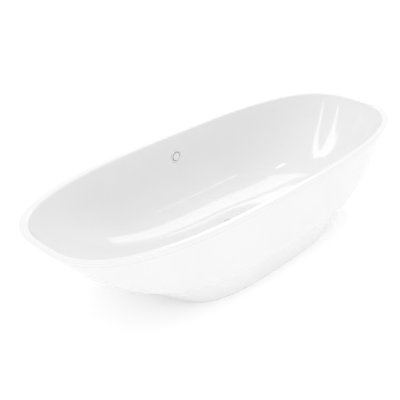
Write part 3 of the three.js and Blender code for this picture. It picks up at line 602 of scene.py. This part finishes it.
def foot_stud(name):
    """A threaded stud with a ball foot and spanner flats just above it."""
    r, low, high = STUD["r"], STUD["flats_from"], STUD["flats_to"]
    ball = rounded([(0, STUD["bottom"]), (5.2, STUD["bottom"]), (6.2, 8), (6.1, 10), (4.5, 12),
                    (4.5, low + 1)], [0, 1, 2, 1.5, 1, 0], 4, closed=False)
    rows = (plain_rows(ball) + plain_rows([(r, high - 1)])
            + thread_rows(r, M12_PITCH, high, STUD["top"] - 1)
            + plain_rows([(r, STUD["top"] - 0.9), (r - 1.2, STUD["top"]), (0, STUD["top"])]))
    stud = grid_piece(name, rows, closed=False)
    collar = grid_piece("collar", plain_rows([(0, low)], HEX_STEPS)
                        + hex_rows(STUD["flats"], low, high)
                        + plain_rows([(0, high)], HEX_STEPS), closed=False)
    return join(stud, [collar])


# Waste and trap

def waste_flange():
    top, bottom, tail_z = FLANGE["top"], FLANGE["bottom"], FLANGE["tail_z"]
    r, tail_r, bore = FLANGE["r"], FLANGE["tail_r"], FLANGE["bore"]
    face = rounded([(tail_r, bottom - 3), (tail_r, bottom), (r, bottom), (r, bottom + 1.2),
                    (r - 3, top), (bore + 1.5, top), (bore, top - 1.5), (bore, bottom - 6)],
                   [0, 0.3, 0.3, 0.9, 2.5, 1.2, 1.2, 0], 4, closed=False)
    rows = (plain_rows([(bore, tail_z), (tail_r, tail_z)], 64)
            + thread_rows(tail_r, 2, tail_z + 0.5, bottom - 4, 64, 5)
            + plain_rows(face, 64))
    return grid_piece("waste_flange", rows)


def seal(name, outer, inner, low, high):
    """A flat rubber ring with softly rounded edges."""
    corners = [(inner, low), (outer, low), (outer, high), (inner, high)]
    return turned(name, rounded(corners, 0.3 * (high - low), 3), 64)


def sideways(obj, degrees, z):
    """Turns a piece made along Z to lie along another direction at a height."""
    return moved(obj, spin(90, "Y"), spin(degrees, "Z"), shift(0, 0, z))


def waste_body():
    """The housing under the drain, with the outlet spigot and the hose's inlet."""
    top, under, bottom = WASTE["top"], WASTE["top"] - WASTE_TOP_WALL, WASTE["bottom"]
    r, flange_r, inner_r, throat_r = (WASTE[k] for k in ("r", "flange_r", "inner_r", "throat_r"))
    corners = [(throat_r, top), (flange_r, top), (flange_r, under), (r, under), (r, bottom),
               (inner_r, bottom), (inner_r, under), (throat_r, under)]
    housing = turned("waste_body", rounded(corners, [0.6, 1, 1, 2, 0.6, 0.6, 1, 0.6], 3), 96)
    rib = rounded([(0, 0), (WASTE_RIB["reach"], 0), (0, -WASTE_RIB["drop"])], 0.6, 2)
    half = WASTE_RIB["half_width"]
    ribs = [moved(prism("rib", rib, -half, half, 0.2), spin(90, "X"),
                  shift(r - 1, 0, under + 0.5), spin(angle, "Z")) for angle in WASTE_RIB["at"]]
    start = inner_r + 2

    def outlet(radius, low, high):
        return sideways(rod(radius, low, high, 64), TO_OUTLET, OUTLET["z"])

    def hose_inlet(radius, low, high):
        return sideways(rod(radius, low, high), TO_HOSE, HOSE_PORT["z"])

    spigots = [outlet(OUTLET["spigot_r"], start, PIPE_FROM),
               outlet(OUTLET["spigot_r"] + 2, start, start + 6),
               hose_inlet(HOSE_PORT["r"], start, HOSE_PORT["end"]),
               hose_inlet(HOSE_PORT["r"] + 1.5, start, start + 5)]
    join(housing, ribs + spigots)
    bores = [outlet(OUTLET["spigot_inner"], 20, OUTLET_NUT["to"]),
             hose_inlet(HOSE_PORT["inner_r"], 20, HOSE_PORT["end"] + 5)]
    return cut(housing, bores)


def gripped(count, depth, least_r):
    """A grip for turned(): a ring of hollows round whatever is at least least_r wide."""
    def grip(r, angles):
        return r if r < least_r else r - depth * (0.5 + 0.5 * np.cos(count * angles)) ** 3
    return grip


def trap_cup():
    r, inner_r, bottom, top = CUP["r"], CUP["inner_r"], CUP["bottom"], CUP["top"]
    floor = bottom + CUP["floor"]
    corners = [(0, bottom), (r, bottom), (r, top), (inner_r, top), (inner_r, floor), (0, floor)]
    outline = rounded(corners, [0, 2.5, 0.8, 0.5, 1.5, 0], 4, closed=False)
    return turned("trap_cup", outline, 192, gripped(24, 1.2, r - 1))


def trap_baffle():
    angles = math.pi + np.linspace(-BAFFLE["half_angle"], BAFFLE["half_angle"], 25)
    faces = (BAFFLE["r"], angles), (BAFFLE["r"] - BAFFLE["wall"], angles[::-1])
    outline = [(r * math.cos(t), r * math.sin(t)) for r, along in faces for t in along]
    top = WASTE["top"] - WASTE_TOP_WALL - TOUCH_GAP
    return prism("trap_baffle", outline, BAFFLE["bottom"], top, 0.3)


def outlet_pipe():
    start, end = PIPE_FROM + TOUCH_GAP, OUTLET["end"]
    r, inner_r = OUTLET["r"], OUTLET["inner_r"]
    corners = [(inner_r, start), (r, start), (r, end), (inner_r, end)]
    return sideways(turned("outlet_pipe", rounded(corners, 0.6, 3), 64), TO_OUTLET, OUTLET["z"])


def outlet_nut():
    r, start, end = OUTLET_NUT["r"], OUTLET_NUT["from"], OUTLET_NUT["to"]
    bore, neck = OUTLET["r"] + TOUCH_GAP, OUTLET["spigot_r"] + TOUCH_GAP
    step = end - 7 + TOUCH_GAP
    corners = [(neck, start), (r, start), (r, end), (bore, end), (bore, step), (neck, step)]
    outline = rounded(corners, [0.5, 1.5, 1.2, 0.5, 0.3, 0.5], 4)
    body = turned("outlet_nut", outline, 160, gripped(10, 1.3, r - 1))
    return sideways(body, TO_OUTLET, OUTLET["z"])


# Plug

def plug_cap():
    """A cap with a flat underside and a crown that falls away towards its rim."""
    full, bottom = PLUG["r"], PLUG["bottom"]
    top = bottom + PLUG["height"]
    underside = rounded([(0, bottom), (full - 2.5, bottom), (full, bottom + 0.4),
                         (full, bottom + 1.8)], [0, 0.5, 0.5, 0], 3, closed=False)
    spread = np.linspace(full - 0.3, 0, 20)
    crown = [(r, top - (top - bottom - 2) * (r / full) ** 2.6) for r in spread]
    return turned("plug_cap", underside + crown, 96)


def plug_stem():
    r, collar_r, bottom = STEM["r"], STEM["collar_r"], STEM["bottom"]
    low, high = STEM["collar_from"], STEM["collar_to"]
    corners = [(0, bottom), (r, bottom), (r, low), (collar_r, low), (collar_r, high), (0, high)]
    outline = rounded(corners, [0, 0.8, 0.5, 0.5, 0.4, 0], 3, closed=False)
    return turned("plug_stem", outline, 48)


def plug_seal():
    return seal("plug_seal", PLUG["seal_r"], PLUG["seal_inner"], STEM["collar_from"],
                STEM["collar_to"])


def plug_cartridge():
    """The cross in the waste's throat that guides the plug's stem."""
    low, high = CARTRIDGE["bottom"], CARTRIDGE["top"]
    boss = rod(CARTRIDGE["boss_r"], low, high, 64)
    arms = [moved(slab(2 * CARTRIDGE["arm_r"], CARTRIDGE["arm_width"], high - low),
                  spin(angle, "Z"), shift(0, 0, low)) for angle in (0, 90)]
    join(boss, arms)
    cut(boss, [rod(STEM["r"] + TOUCH_GAP, low - 1, high + 1)])
    boss.name = "plug_cartridge"
    soften(boss, 0.4)
    return boss


def rows_along(path, radii, sides):
    """Round rows square to a path, with a radius for each of its points."""
    tangent = np.gradient(path, axis=0)
    tangent /= np.linalg.norm(tangent, axis=1)[:, None]
    side = np.cross(tangent, (0.0, 0.0, 1.0))
    flat = np.linalg.norm(side, axis=1) < 0.2
    side[flat] = np.cross(tangent[flat], (1.0, 0.0, 0.0))
    side /= np.linalg.norm(side, axis=1)[:, None]
    up = np.cross(side, tangent)
    angles = angles_round(sides)
    return [p + r * (np.outer(np.cos(angles), s) + np.outer(np.sin(angles), u))
            for p, r, s, u in zip(path, radii, side, up)]


def plug_spring():
    """An open coil of round wire whose turns lie closer together at both ends."""
    per_turn = 32
    r, wire, turns = SPRING["r"], SPRING["wire"], SPRING["turns"]
    along = np.linspace(0, 1, turns * per_turn + 1)
    low, high = SPRING["from"] + wire, SPRING["to"] - wire
    climb = along - np.sin(2 * math.pi * along) / (2 * math.pi) * 0.35
    angle = along * turns * 2 * math.pi
    path = np.c_[r * np.cos(angle), r * np.sin(angle), low + (high - low) * climb]
    rows = rows_along(path, np.full(len(path), wire), 10)
    return grid_piece("plug_spring", rows, closed=False, caps=True)


# Overflow: pieces made along local Z, which points from the wall into the basin

def overflow_place():
    """The middle of the overflow's seat on the wall, and how far the wall leans, in radians."""
    depth = (HEIGHT - OVERFLOW_Z) / (HEIGHT - FLOOR_Z)
    above, below = basin_ring(depth - 0.01), basin_ring(depth + 0.01)
    lean = math.atan2(above[1] - below[1], above[3] - below[3])
    return basin_ring(depth)[1], lean


def at_overflow(obj):
    y, lean = overflow_place()
    return moved(obj, spin(90 - math.degrees(lean), "X"), shift(0, y, OVERFLOW_Z))


def overflow_ring():
    """The trim ring, with a threaded tail and a bridge across it that holds the cap's stem."""
    top, r, bore = OVERFLOW["top"], OVERFLOW["ring_r"], OVERFLOW["bore"]
    tail_r, tail_z = OVERFLOW["tail_r"], OVERFLOW["tail_z"]
    face = rounded([(tail_r, TOUCH_GAP), (r, TOUCH_GAP), (r, top - 1.2),
                    ((r + bore) / 2, top + 0.9), (bore, top - 1.2), (bore, -14)],
                   [0.2, 0.3, 1.2, 5, 1.2, 0], 6, closed=False)
    rows = (plain_rows([(bore, tail_z), (tail_r, tail_z)], 96)
            + thread_rows(tail_r, 1.5, tail_z + 0.4, -1, 96, 5)
            + plain_rows(face, 96))
    body = grid_piece("overflow_ring", rows)
    bridge = moved(slab(2 * bore + 1, 5, 3), shift(0, 0, BRIDGE["bottom"]))
    boss = rod(BRIDGE["boss_r"], BRIDGE["bottom"], BRIDGE["boss_top"])
    join(body, [bridge, boss])
    stem_hole = rod(CAP["stem_r"] + TOUCH_GAP, BRIDGE["bottom"] - 2, BRIDGE["boss_top"] + 2)
    cut(body, [stem_hole])
    return at_overflow(body)


def overflow_cap():
    top, r = OVERFLOW["top"], CAP["r"]
    face = top - CAP["thickness"]
    outline = rounded([(0, CAP["stem_z"]), (CAP["stem_r"], CAP["stem_z"]), (CAP["stem_r"], face),
                       (r, face), (r, top - 0.7), (r - 2, top - 0.1), (r * 0.55, top + 0.1),
                       (r * 0.5, top - 0.15), (0, top + 0.1)],
                      [0, 0.6, 0.4, 0.3, 0.7, 1.5, 0.6, 0.6, 0], 5, closed=False)
    return at_overflow(turned("overflow_cap", outline, 96))


def overflow_seal():
    back = BODY["front"] + TOUCH_GAP
    return at_overflow(seal("overflow_seal", BODY["flange_r"] - 1, OVERFLOW["hole"] + 0.5, back,
                            back + 2.4))


def overflow_body():
    """The chamber behind the wall: a flange, a round box and a spigot that points down."""
    front, back, flange_r = BODY["front"], BODY["back"], BODY["flange_r"]
    flange = rounded([(0, front - 2.4), (flange_r, front - 2.4), (flange_r, front), (0, front)],
                     [0, 0.6, 0.6, 0], 3, closed=False)
    body = turned("overflow_body", flange, 96)
    chamber = rounded([(0, back), (BODY["r"], back), (BODY["r"], front - 1), (0, front - 1)],
                      [0, 2.5, 0.2, 0], 4, closed=False)
    spigot = rod(SPIGOT["r"], 10, SPIGOT["length"])
    collar = rod(SPIGOT["r"] + 1.3, 10, BODY["r"] + 4)
    bore = rod(SPIGOT["inner_r"], 0, SPIGOT["length"] + 5)
    for piece in (spigot, collar, bore):
        moved(piece, spin(90, "X"), shift(0, 0, -SPIGOT["depth"]))
    hollow = rod(BODY["inner_r"], back + BODY["wall"], front + 1, 96)
    join(body, [turned("chamber", chamber, 96), spigot, collar])
    return at_overflow(cut(body, [hollow, bore]))


def hose_path(steps=420):
    """Evenly spaced points of the hose's middle line, from the overflow to the waste."""
    y, lean = overflow_place()
    along = SPIGOT["length"] - HOSE["overlap"]
    sin, cos = math.sin(lean), math.cos(lean)
    start_y = y - along * sin + SPIGOT["depth"] * cos
    start_z = OVERFLOW_Z - along * cos - SPIGOT["depth"] * sin
    end_y = HOSE_PORT["end"] - HOSE["overlap"]
    knots = np.array([
        (start_y, start_z),
        (start_y - 14 * sin, start_z - 14 * cos),
        (start_y - 3, start_z - 30),
        (325, 200),
        (289, 142),
        (240, 84),
        (180, 50),
        (120, 37),
        (end_y + 25, HOSE_PORT["z"]),
        (end_y, HOSE_PORT["z"]),
    ])
    chord = np.r_[0, np.cumsum(np.sqrt(np.linalg.norm(np.diff(knots, axis=0), axis=1)))]
    slope = np.gradient(knots, chord, axis=0)
    slope[0] = (knots[1] - knots[0]) / (chord[1] - chord[0])
    slope[-1] = (knots[-1] - knots[-2]) / (chord[-1] - chord[-2])
    fine = np.linspace(0, chord[-1], 2000)
    k = np.clip(np.searchsorted(chord, fine, "right") - 1, 0, len(knots) - 2)
    width = (chord[k + 1] - chord[k])[:, None]
    t = (fine[:, None] - chord[k][:, None]) / width
    line = ((2 * t**3 - 3 * t**2 + 1) * knots[k] + (t**3 - 2 * t**2 + t) * width * slope[k]
            + (3 * t**2 - 2 * t**3) * knots[k + 1] + (t**3 - t**2) * width * slope[k + 1])
    length = np.r_[0, np.cumsum(np.linalg.norm(np.diff(line, axis=0), axis=1))]
    even = np.linspace(0, length[-1], steps)
    ys, zs = np.interp(even, length, line[:, 0]), np.interp(even, length, line[:, 1])
    return np.c_[np.zeros(steps), ys, zs], length[-1]


def overflow_hose():
    """A corrugated hose with plain cuffs, where the clamps hold it on its two spigots."""
    steps = 620
    path, length = hose_path(steps)
    along = np.linspace(0, length, steps)
    from_end = np.minimum(along, length - along)
    ribbed = np.clip((from_end - HOSE["cuff"]) / 3, 0, 1)
    wave = 0.5 - 0.5 * np.cos(2 * math.pi * along / HOSE["rib"])
    outer = HOSE["r"] - 0.1 - 1.0 * ribbed * (1 - wave ** 0.7)
    inner = np.full(steps, HOSE["inner_r"] - 0.4)
    skin, lining = rows_along(path, outer, 24), rows_along(path, inner, 24)
    return grid_piece("overflow_hose", skin + lining[::-1])


def hose_clamp(name, share):
    """A worm-drive band clamp, its screw housing on the side of the hose."""
    path, _length = hose_path()
    at = round(share * (len(path) - 1))
    half = CLAMP["width"] / 2
    inner = HOSE["r"] + 0.1
    corners = [(inner, -half), (CLAMP["r"], -half), (CLAMP["r"] - 0.3, 0), (CLAMP["r"], half),
               (inner, half)]
    band = turned(name, rounded(corners, [0, 0.4, 1, 0.4, 0], 3), 64)
    housing = moved(prism("housing", rounded_box(9, 5.4, 2), -half + 0.4, half - 0.4, 0.3),
                    spin(90, "Z"), shift(CLAMP["r"] + 1.6, 0, 0))
    screw = moved(hex_head("screw", 5.5, 0, 3), spin(-90, "X"), shift(CLAMP["r"] + 1.8, 4, 0))
    join(band, [housing, screw])
    ahead = Vector(path[min(at + 1, len(path) - 1)] - path[at - 1])
    turn = Vector((0, 0, 1)).rotation_difference(ahead).to_matrix().to_4x4()
    return moved(band, turn, shift(*path[at]))


# Materials

class Finish:
    """A material in the making: textures and values that set its Principled shader's sockets."""

    def __init__(self, name):
        self.material = bpy.data.materials.new(name)
        self.material.use_nodes = True
        self.tree = self.material.node_tree
        self.shader = self.tree.nodes["Principled BSDF"]

    def feed(self, node, socket, value):
        """Sets a node's input to a plain value, or links another node's output to it."""
        if isinstance(value, bpy.types.NodeSocket):
            self.tree.links.new(value, node.inputs[socket])
        else:
            node.inputs[socket].default_value = value

    def set(self, socket, value):
        self.feed(self.shader, socket, value)

    def add(self, kind, **inputs):
        """Adds a node; a _ in the name of an input stands for a space."""
        node = self.tree.nodes.new(kind)
        for socket, value in inputs.items():
            self.feed(node, socket.replace("_", " "), value)
        return node

    def texture(self, kind, stretch=None, **inputs):
        """A texture in the object's own metres; stretch squeezes it along the axes."""
        place = self.add("ShaderNodeTexCoord").outputs["Object"]
        if stretch:
            place = self.add("ShaderNodeMapping", Vector=place, Scale=stretch).outputs["Vector"]
        return self.add(kind, Vector=place, **inputs).outputs

    def noise(self, scale, detail=3.0, roughness=0.5):
        return self.texture("ShaderNodeTexNoise", Scale=scale, Detail=detail,
                            Roughness=roughness)["Fac"]

    def colour(self, value, first, last, low=0.35, high=0.65):
        """Runs the base colour from the first to the last as a value goes from low to high."""
        ramp = self.add("ShaderNodeValToRGB", Fac=value)
        start, end = ramp.color_ramp.elements
        start.position, end.position = low, high
        start.color, end.color = (*first, 1), (*last, 1)
        self.set("Base Color", ramp.outputs["Color"])

    def roughness(self, value, low, high):
        span = self.add("ShaderNodeMapRange", Value=value, To_Min=low, To_Max=high)
        self.set("Roughness", span.outputs["Result"])

    def bump(self, value, strength, distance):
        bump = self.add("ShaderNodeBump", Height=value, Strength=strength, Distance=distance)
        self.set("Normal", bump.outputs["Normal"])


def acrylic(name, light, rough):
    """Glossy sanitary acrylic: almost white, with a faint cloudiness and moulding ripple."""
    finish = Finish(name)
    finish.colour(finish.noise(5.0), tuple(0.985 * c for c in light), light)
    finish.roughness(finish.noise(40.0, 4.0), rough * 0.8, rough * 1.3)
    finish.bump(finish.noise(7.0, 1.0), 0.06, 0.002)
    finish.set("IOR", 1.49)
    return finish.material


def sealant():
    finish = Finish("sealant")
    blotch = finish.noise(60.0)
    finish.colour(blotch, (0.80, 0.80, 0.78), (0.88, 0.88, 0.86))
    finish.roughness(blotch, 0.35, 0.55)
    finish.bump(blotch, 0.4, 0.0006)
    return finish.material


def board():
    """Chipboard: pressed flakes of several browns."""
    finish = Finish("board")
    flakes = finish.texture("ShaderNodeTexVoronoi", (1.0, 2.2, 3.0), Scale=260.0)["Distance"]
    finish.colour(flakes, (0.62, 0.47, 0.30), (0.36, 0.25, 0.14), 0.1, 0.9)
    finish.roughness(finish.noise(90.0, 5.0, 0.7), 0.65, 0.9)
    finish.bump(flakes, 0.35, 0.0005)
    return finish.material


def galvanised():
    """Zinc-coated sheet steel with its large crystal spangle."""
    finish = Finish("galvanised_steel")
    spangle = finish.texture("ShaderNodeTexVoronoi", Scale=110.0)["Color"]
    tone = finish.add("ShaderNodeSeparateColor", Color=spangle).outputs
    finish.colour(tone["Red"], (0.50, 0.52, 0.54), (0.70, 0.72, 0.73), 0.0, 1.0)
    finish.roughness(tone["Green"], 0.28, 0.5)
    finish.bump(finish.noise(400.0), 0.15, 0.0003)
    finish.set("Metallic", 1.0)
    return finish.material


def plated(name, dark, light, rough, scale=300.0):
    """A plated or drawn metal with fine wear in its shine."""
    finish = Finish(name)
    wear = finish.noise(scale, 4.0, 0.6)
    finish.colour(wear, dark, light)
    finish.roughness(wear, rough * 0.7, rough * 1.4)
    finish.bump(wear, 0.08, 0.0002)
    finish.set("Metallic", 1.0)
    return finish.material


def chrome():
    """Polished chromium with faint wipe marks; its base colour is light face on and darker where it
    turns away from the view, a painted shade at its edges.
    """
    finish = Finish("chrome")
    # painted shade: the colour runs dark where the surface is seen side on
    painted_edge_shade = finish.add("ShaderNodeLayerWeight", Blend=0.5).outputs["Facing"]
    finish.colour(painted_edge_shade, (0.86, 0.87, 0.88), (0.30, 0.31, 0.33), 0.55, 0.75)
    finish.roughness(finish.noise(60.0, 4.0), 0.04, 0.10)
    finish.set("Metallic", 1.0)
    return finish.material


def rubber():
    finish = Finish("black_rubber")
    grain = finish.noise(900.0, 3.0, 0.6)
    finish.colour(grain, (0.018, 0.018, 0.018), (0.035, 0.035, 0.036))
    finish.roughness(grain, 0.55, 0.8)
    finish.bump(grain, 0.3, 0.0003)
    return finish.material


def moulded(name, dark, light, rough):
    """Moulded polypropylene with the fine texture of its tool."""
    finish = Finish(name)
    grain = finish.noise(700.0, 2.0, 0.5)
    finish.colour(finish.noise(30.0), dark, light)
    finish.roughness(grain, rough * 0.85, rough * 1.2)
    finish.bump(grain, 0.2, 0.0002)
    return finish.material


ACRYLIC_WHITE = (0.815, 0.815, 0.815)
MATERIALS = {
    "white_acrylic": acrylic("white_acrylic", ACRYLIC_WHITE, 0.055),
    "white_acrylic_skirt": acrylic("white_acrylic_skirt", ACRYLIC_WHITE, 0.09),
    "sealant": sealant(),
    "board": board(),
    "galvanised_steel": galvanised(),
    "zinc_fastener": plated("zinc_fastener", (0.60, 0.60, 0.57), (0.76, 0.75, 0.70), 0.28),
    "spring_steel": plated("spring_steel", (0.48, 0.49, 0.50), (0.62, 0.63, 0.64), 0.25, 800.0),
    "chrome": chrome(),
    "black_rubber": rubber(),
    "white_plastic": moulded("white_plastic", (0.76, 0.76, 0.74), (0.83, 0.83, 0.81), 0.38),
    "grey_plastic": moulded("grey_plastic", (0.17, 0.18, 0.19), (0.24, 0.25, 0.26), 0.45),
}


# Putting the pieces on the frame

RECORD = frame["record"]
BODY_OF = {node: body for body, nodes in RECORD["behaviour"]["bodies"].items() for node in nodes}
SLOT_OF = {part["node"]: part["material_slot"] for part in RECORD["subparts"]}


def stand_for(obj, node, slot=None):
    """The piece takes a node's place and body, and the material of a slot: the node's own unless
    another is given."""
    slot = slot or SLOT_OF[node]
    obj.name = node + "_look"
    obj.data.name = obj.name
    obj.data.materials.clear()
    obj.data.materials.append(MATERIALS[slot])
    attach(obj, BODY_OF[node])
    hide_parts(node)


def corners():
    for sx in SIGNS:
        for sy in SIGNS:
            yield ("left" if sx < 0 else "right") + ("_front" if sy < 0 else "_back"), sx, sy


def place_single_pieces():
    """Places the pieces whose functions have their nodes' names."""
    for build in (
        basin_shell, outer_skirt, rim_bond_bead, base_plinth, base_board,
        waste_flange, waste_body, trap_cup, trap_baffle, outlet_pipe, outlet_nut,
        plug_cap, plug_stem, plug_seal, plug_cartridge, plug_spring,
        overflow_ring, overflow_cap, overflow_seal, overflow_body, overflow_hose,
    ):
        stand_for(build(), build.__name__)


def place_seals_and_clamps():
    upper = seal("upper", FLANGE["r"] - 1, FLANGE["tail_r"] + 1, DRAIN_RECESS_Z + TOUCH_GAP,
                 UPPER_SEAL_TOP)
    lower = seal("lower", LOWER_SEAL["r"], LOWER_SEAL["inner_r"], WASTE["top"] + TOUCH_GAP,
                 LOWER_SEAL["top"])
    stand_for(upper, "waste_seal_upper")
    stand_for(lower, "waste_seal_lower")
    for end, share in (("top", 0.02), ("bottom", 0.98)):
        name = "hose_clamp_" + end
        stand_for(hose_clamp(name, share), name, "spring_steel")


def place_cradle():
    for sy, name in zip(SIGNS, ("rail_front", "rail_back")):
        stand_for(rail(name, sy * RAIL["y"]), name)
    for sx, name in zip(SIGNS, ("cross_bar_left", "cross_bar_right")):
        stand_for(cross_bar(name, sx), name)
    for side, sx, sy in corners():
        at_screw = shift(sx * SCREW["x"], sy * RAIL["y"], 0)
        at_bolt = shift(sx * BAR["x"], sy * RAIL["y"], 0)
        nut_from = RAIL["top"] + TOUCH_GAP
        bolt_nut = nut("nut", BOLT["flats"], BOLT["r"] + 0.1, nut_from, nut_from + BOLT["nut"])
        stand_for(moved(board_screw("screw"), at_screw), "board_screw_" + side)
        stand_for(moved(frame_bolt("bolt"), at_bolt), "frame_bolt_" + side)
        stand_for(moved(bolt_nut, at_bolt), "frame_nut_" + side)


def place_feet():
    flats, height = FOOT_NUT["flats"], FOOT_NUT["height"]
    for side, sx, sy in corners():
        at_foot = shift(sx * FOOT["x"], sy * FOOT["y"], 0)
        for kind in ("weld", "lock"):
            low = FOOT_NUT[kind + "_from"]
            piece = nut(kind, flats, STUD["r"] + 0.1, low, low + height)
            stand_for(moved(piece, at_foot), f"{kind}_nut_{side}")
        stand_for(moved(foot_stud("stud"), at_foot), "foot_stud_" + side)
        stand_for(moved(foot_pad("pad"), at_foot), "foot_pad_" + side)


# Stage, in metres: the ceiling's lights are (start, end, width, watts per square metre)

CEILING = 2.4
CEILING_LIGHTS = (
    ((1.45, 1.20), (3.3, 1.20), 0.70, 5.5),  # two wide panels, seen along the floor's near side
    ((1.45, 2.05), (3.3, 2.05), 0.70, 5.5),
    ((-1.10, -0.78), (0.93, 1.34), 0.12, 9.5),  # two strips, seen as streaks in the right end
    ((-1.13, 0.92), (0.83, 1.34), 0.12, 9.5),
    ((-0.90, 2.30), (0.20, 1.80), 0.08, 8.0),  # three small ones, for short highlights
    ((1.55, -0.25), (1.85, -0.25), 0.08, 9.0),
    ((1.10, 0.62), (1.26, 0.62), 0.12, 12.0),
)
KEY_LIGHT = {"place": (-1.8, -2.6, 0.4), "target": (0, 0, 0.25), "size": (3.0, 0.6), "power": 4}
SKY_STRENGTH = 1.03
FLOOR_GLOW = 0.17
VIEW = {"azimuth": -47.2, "elevation": 29.33, "distance": 2.825, "target": (0, 0, 0.2)}
LENS = {"sensor_width": 36, "lens": 61.29, "shift_x": -0.0779, "shift_y": 0.00125}


def stage_floor():
    """A pale, dull floor that glows a little, to stay white in the picture."""
    size = 30.0
    mesh = bpy.data.meshes.new("floor")
    mesh.from_pydata([(-size, -size, 0), (size, -size, 0), (size, size, 0), (-size, size, 0)],
                     [], [(0, 1, 2, 3)])
    floor = new_object("stage_floor", mesh)
    finish = Finish("stage_floor")
    finish.colour(finish.noise(0.5), (0.90, 0.90, 0.90), (0.92, 0.92, 0.92))
    finish.set("Emission Color", (1, 1, 1, 1))
    finish.set("Emission Strength", FLOOR_GLOW)
    finish.set("Roughness", 0.9)
    finish.set("Specular IOR Level", 0.0)
    mesh.materials.append(finish.material)


def soft_light(name, place, target, size, power):
    """A rectangular soft light at a place in metres, turned towards a target."""
    data = bpy.data.lights.new(name, "AREA")
    data.shape = "RECTANGLE"
    data.size, data.size_y = size
    data.energy = power
    light = new_object(name, data)
    light.location = place
    aim = Vector(target) - Vector(place)
    light.rotation_euler = aim.to_track_quat("-Z", "Y").to_euler()
    return light


def ceiling_light(start, end, width, watts_per_m2):
    """A flat light facing down, as long as the distance between two points of the ceiling."""
    start, end = Vector((*start, CEILING)), Vector((*end, CEILING))
    along = end - start
    middle = (start + end) / 2
    power = along.length * width * watts_per_m2
    light = soft_light("ceiling", middle, middle - Vector((0, 0, 1)), (along.length, width), power)
    light.rotation_euler = (0, 0, math.atan2(along.y, along.x))


def studio():
    world = bpy.data.worlds.new("studio")
    bpy.context.scene.world = world
    world.use_nodes = True
    sky = world.node_tree.nodes["Background"]
    sky.inputs["Color"].default_value = (1, 1, 1, 1)
    sky.inputs["Strength"].default_value = SKY_STRENGTH
    soft_light("key", **KEY_LIGHT)
    for start, end, width, watts_per_m2 in CEILING_LIGHTS:
        ceiling_light(start, end, width, watts_per_m2)
    bpy.context.scene.view_settings.view_transform = "Standard"


def camera():
    """The view of the photograph: from the left front and above, with a slight sideways shift."""
    azimuth, elevation = math.radians(VIEW["azimuth"]), math.radians(VIEW["elevation"])
    back = Vector((math.sin(azimuth) * math.cos(elevation),
                   -math.cos(azimuth) * math.cos(elevation), math.sin(elevation)))
    data = bpy.data.cameras.new("camera")
    for setting, value in LENS.items():
        setattr(data, setting, value)
    view = new_object("camera", data)
    view.location = Vector(VIEW["target"]) + back * VIEW["distance"]
    view.rotation_euler = (-back).to_track_quat("-Z", "Y").to_euler()
    bpy.context.scene.camera = view


camera()
place_single_pieces()
place_seals_and_clamps()
place_cradle()
place_feet()
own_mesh(bpy.data.objects["plug_spring_look"])
stage_floor()
studio()
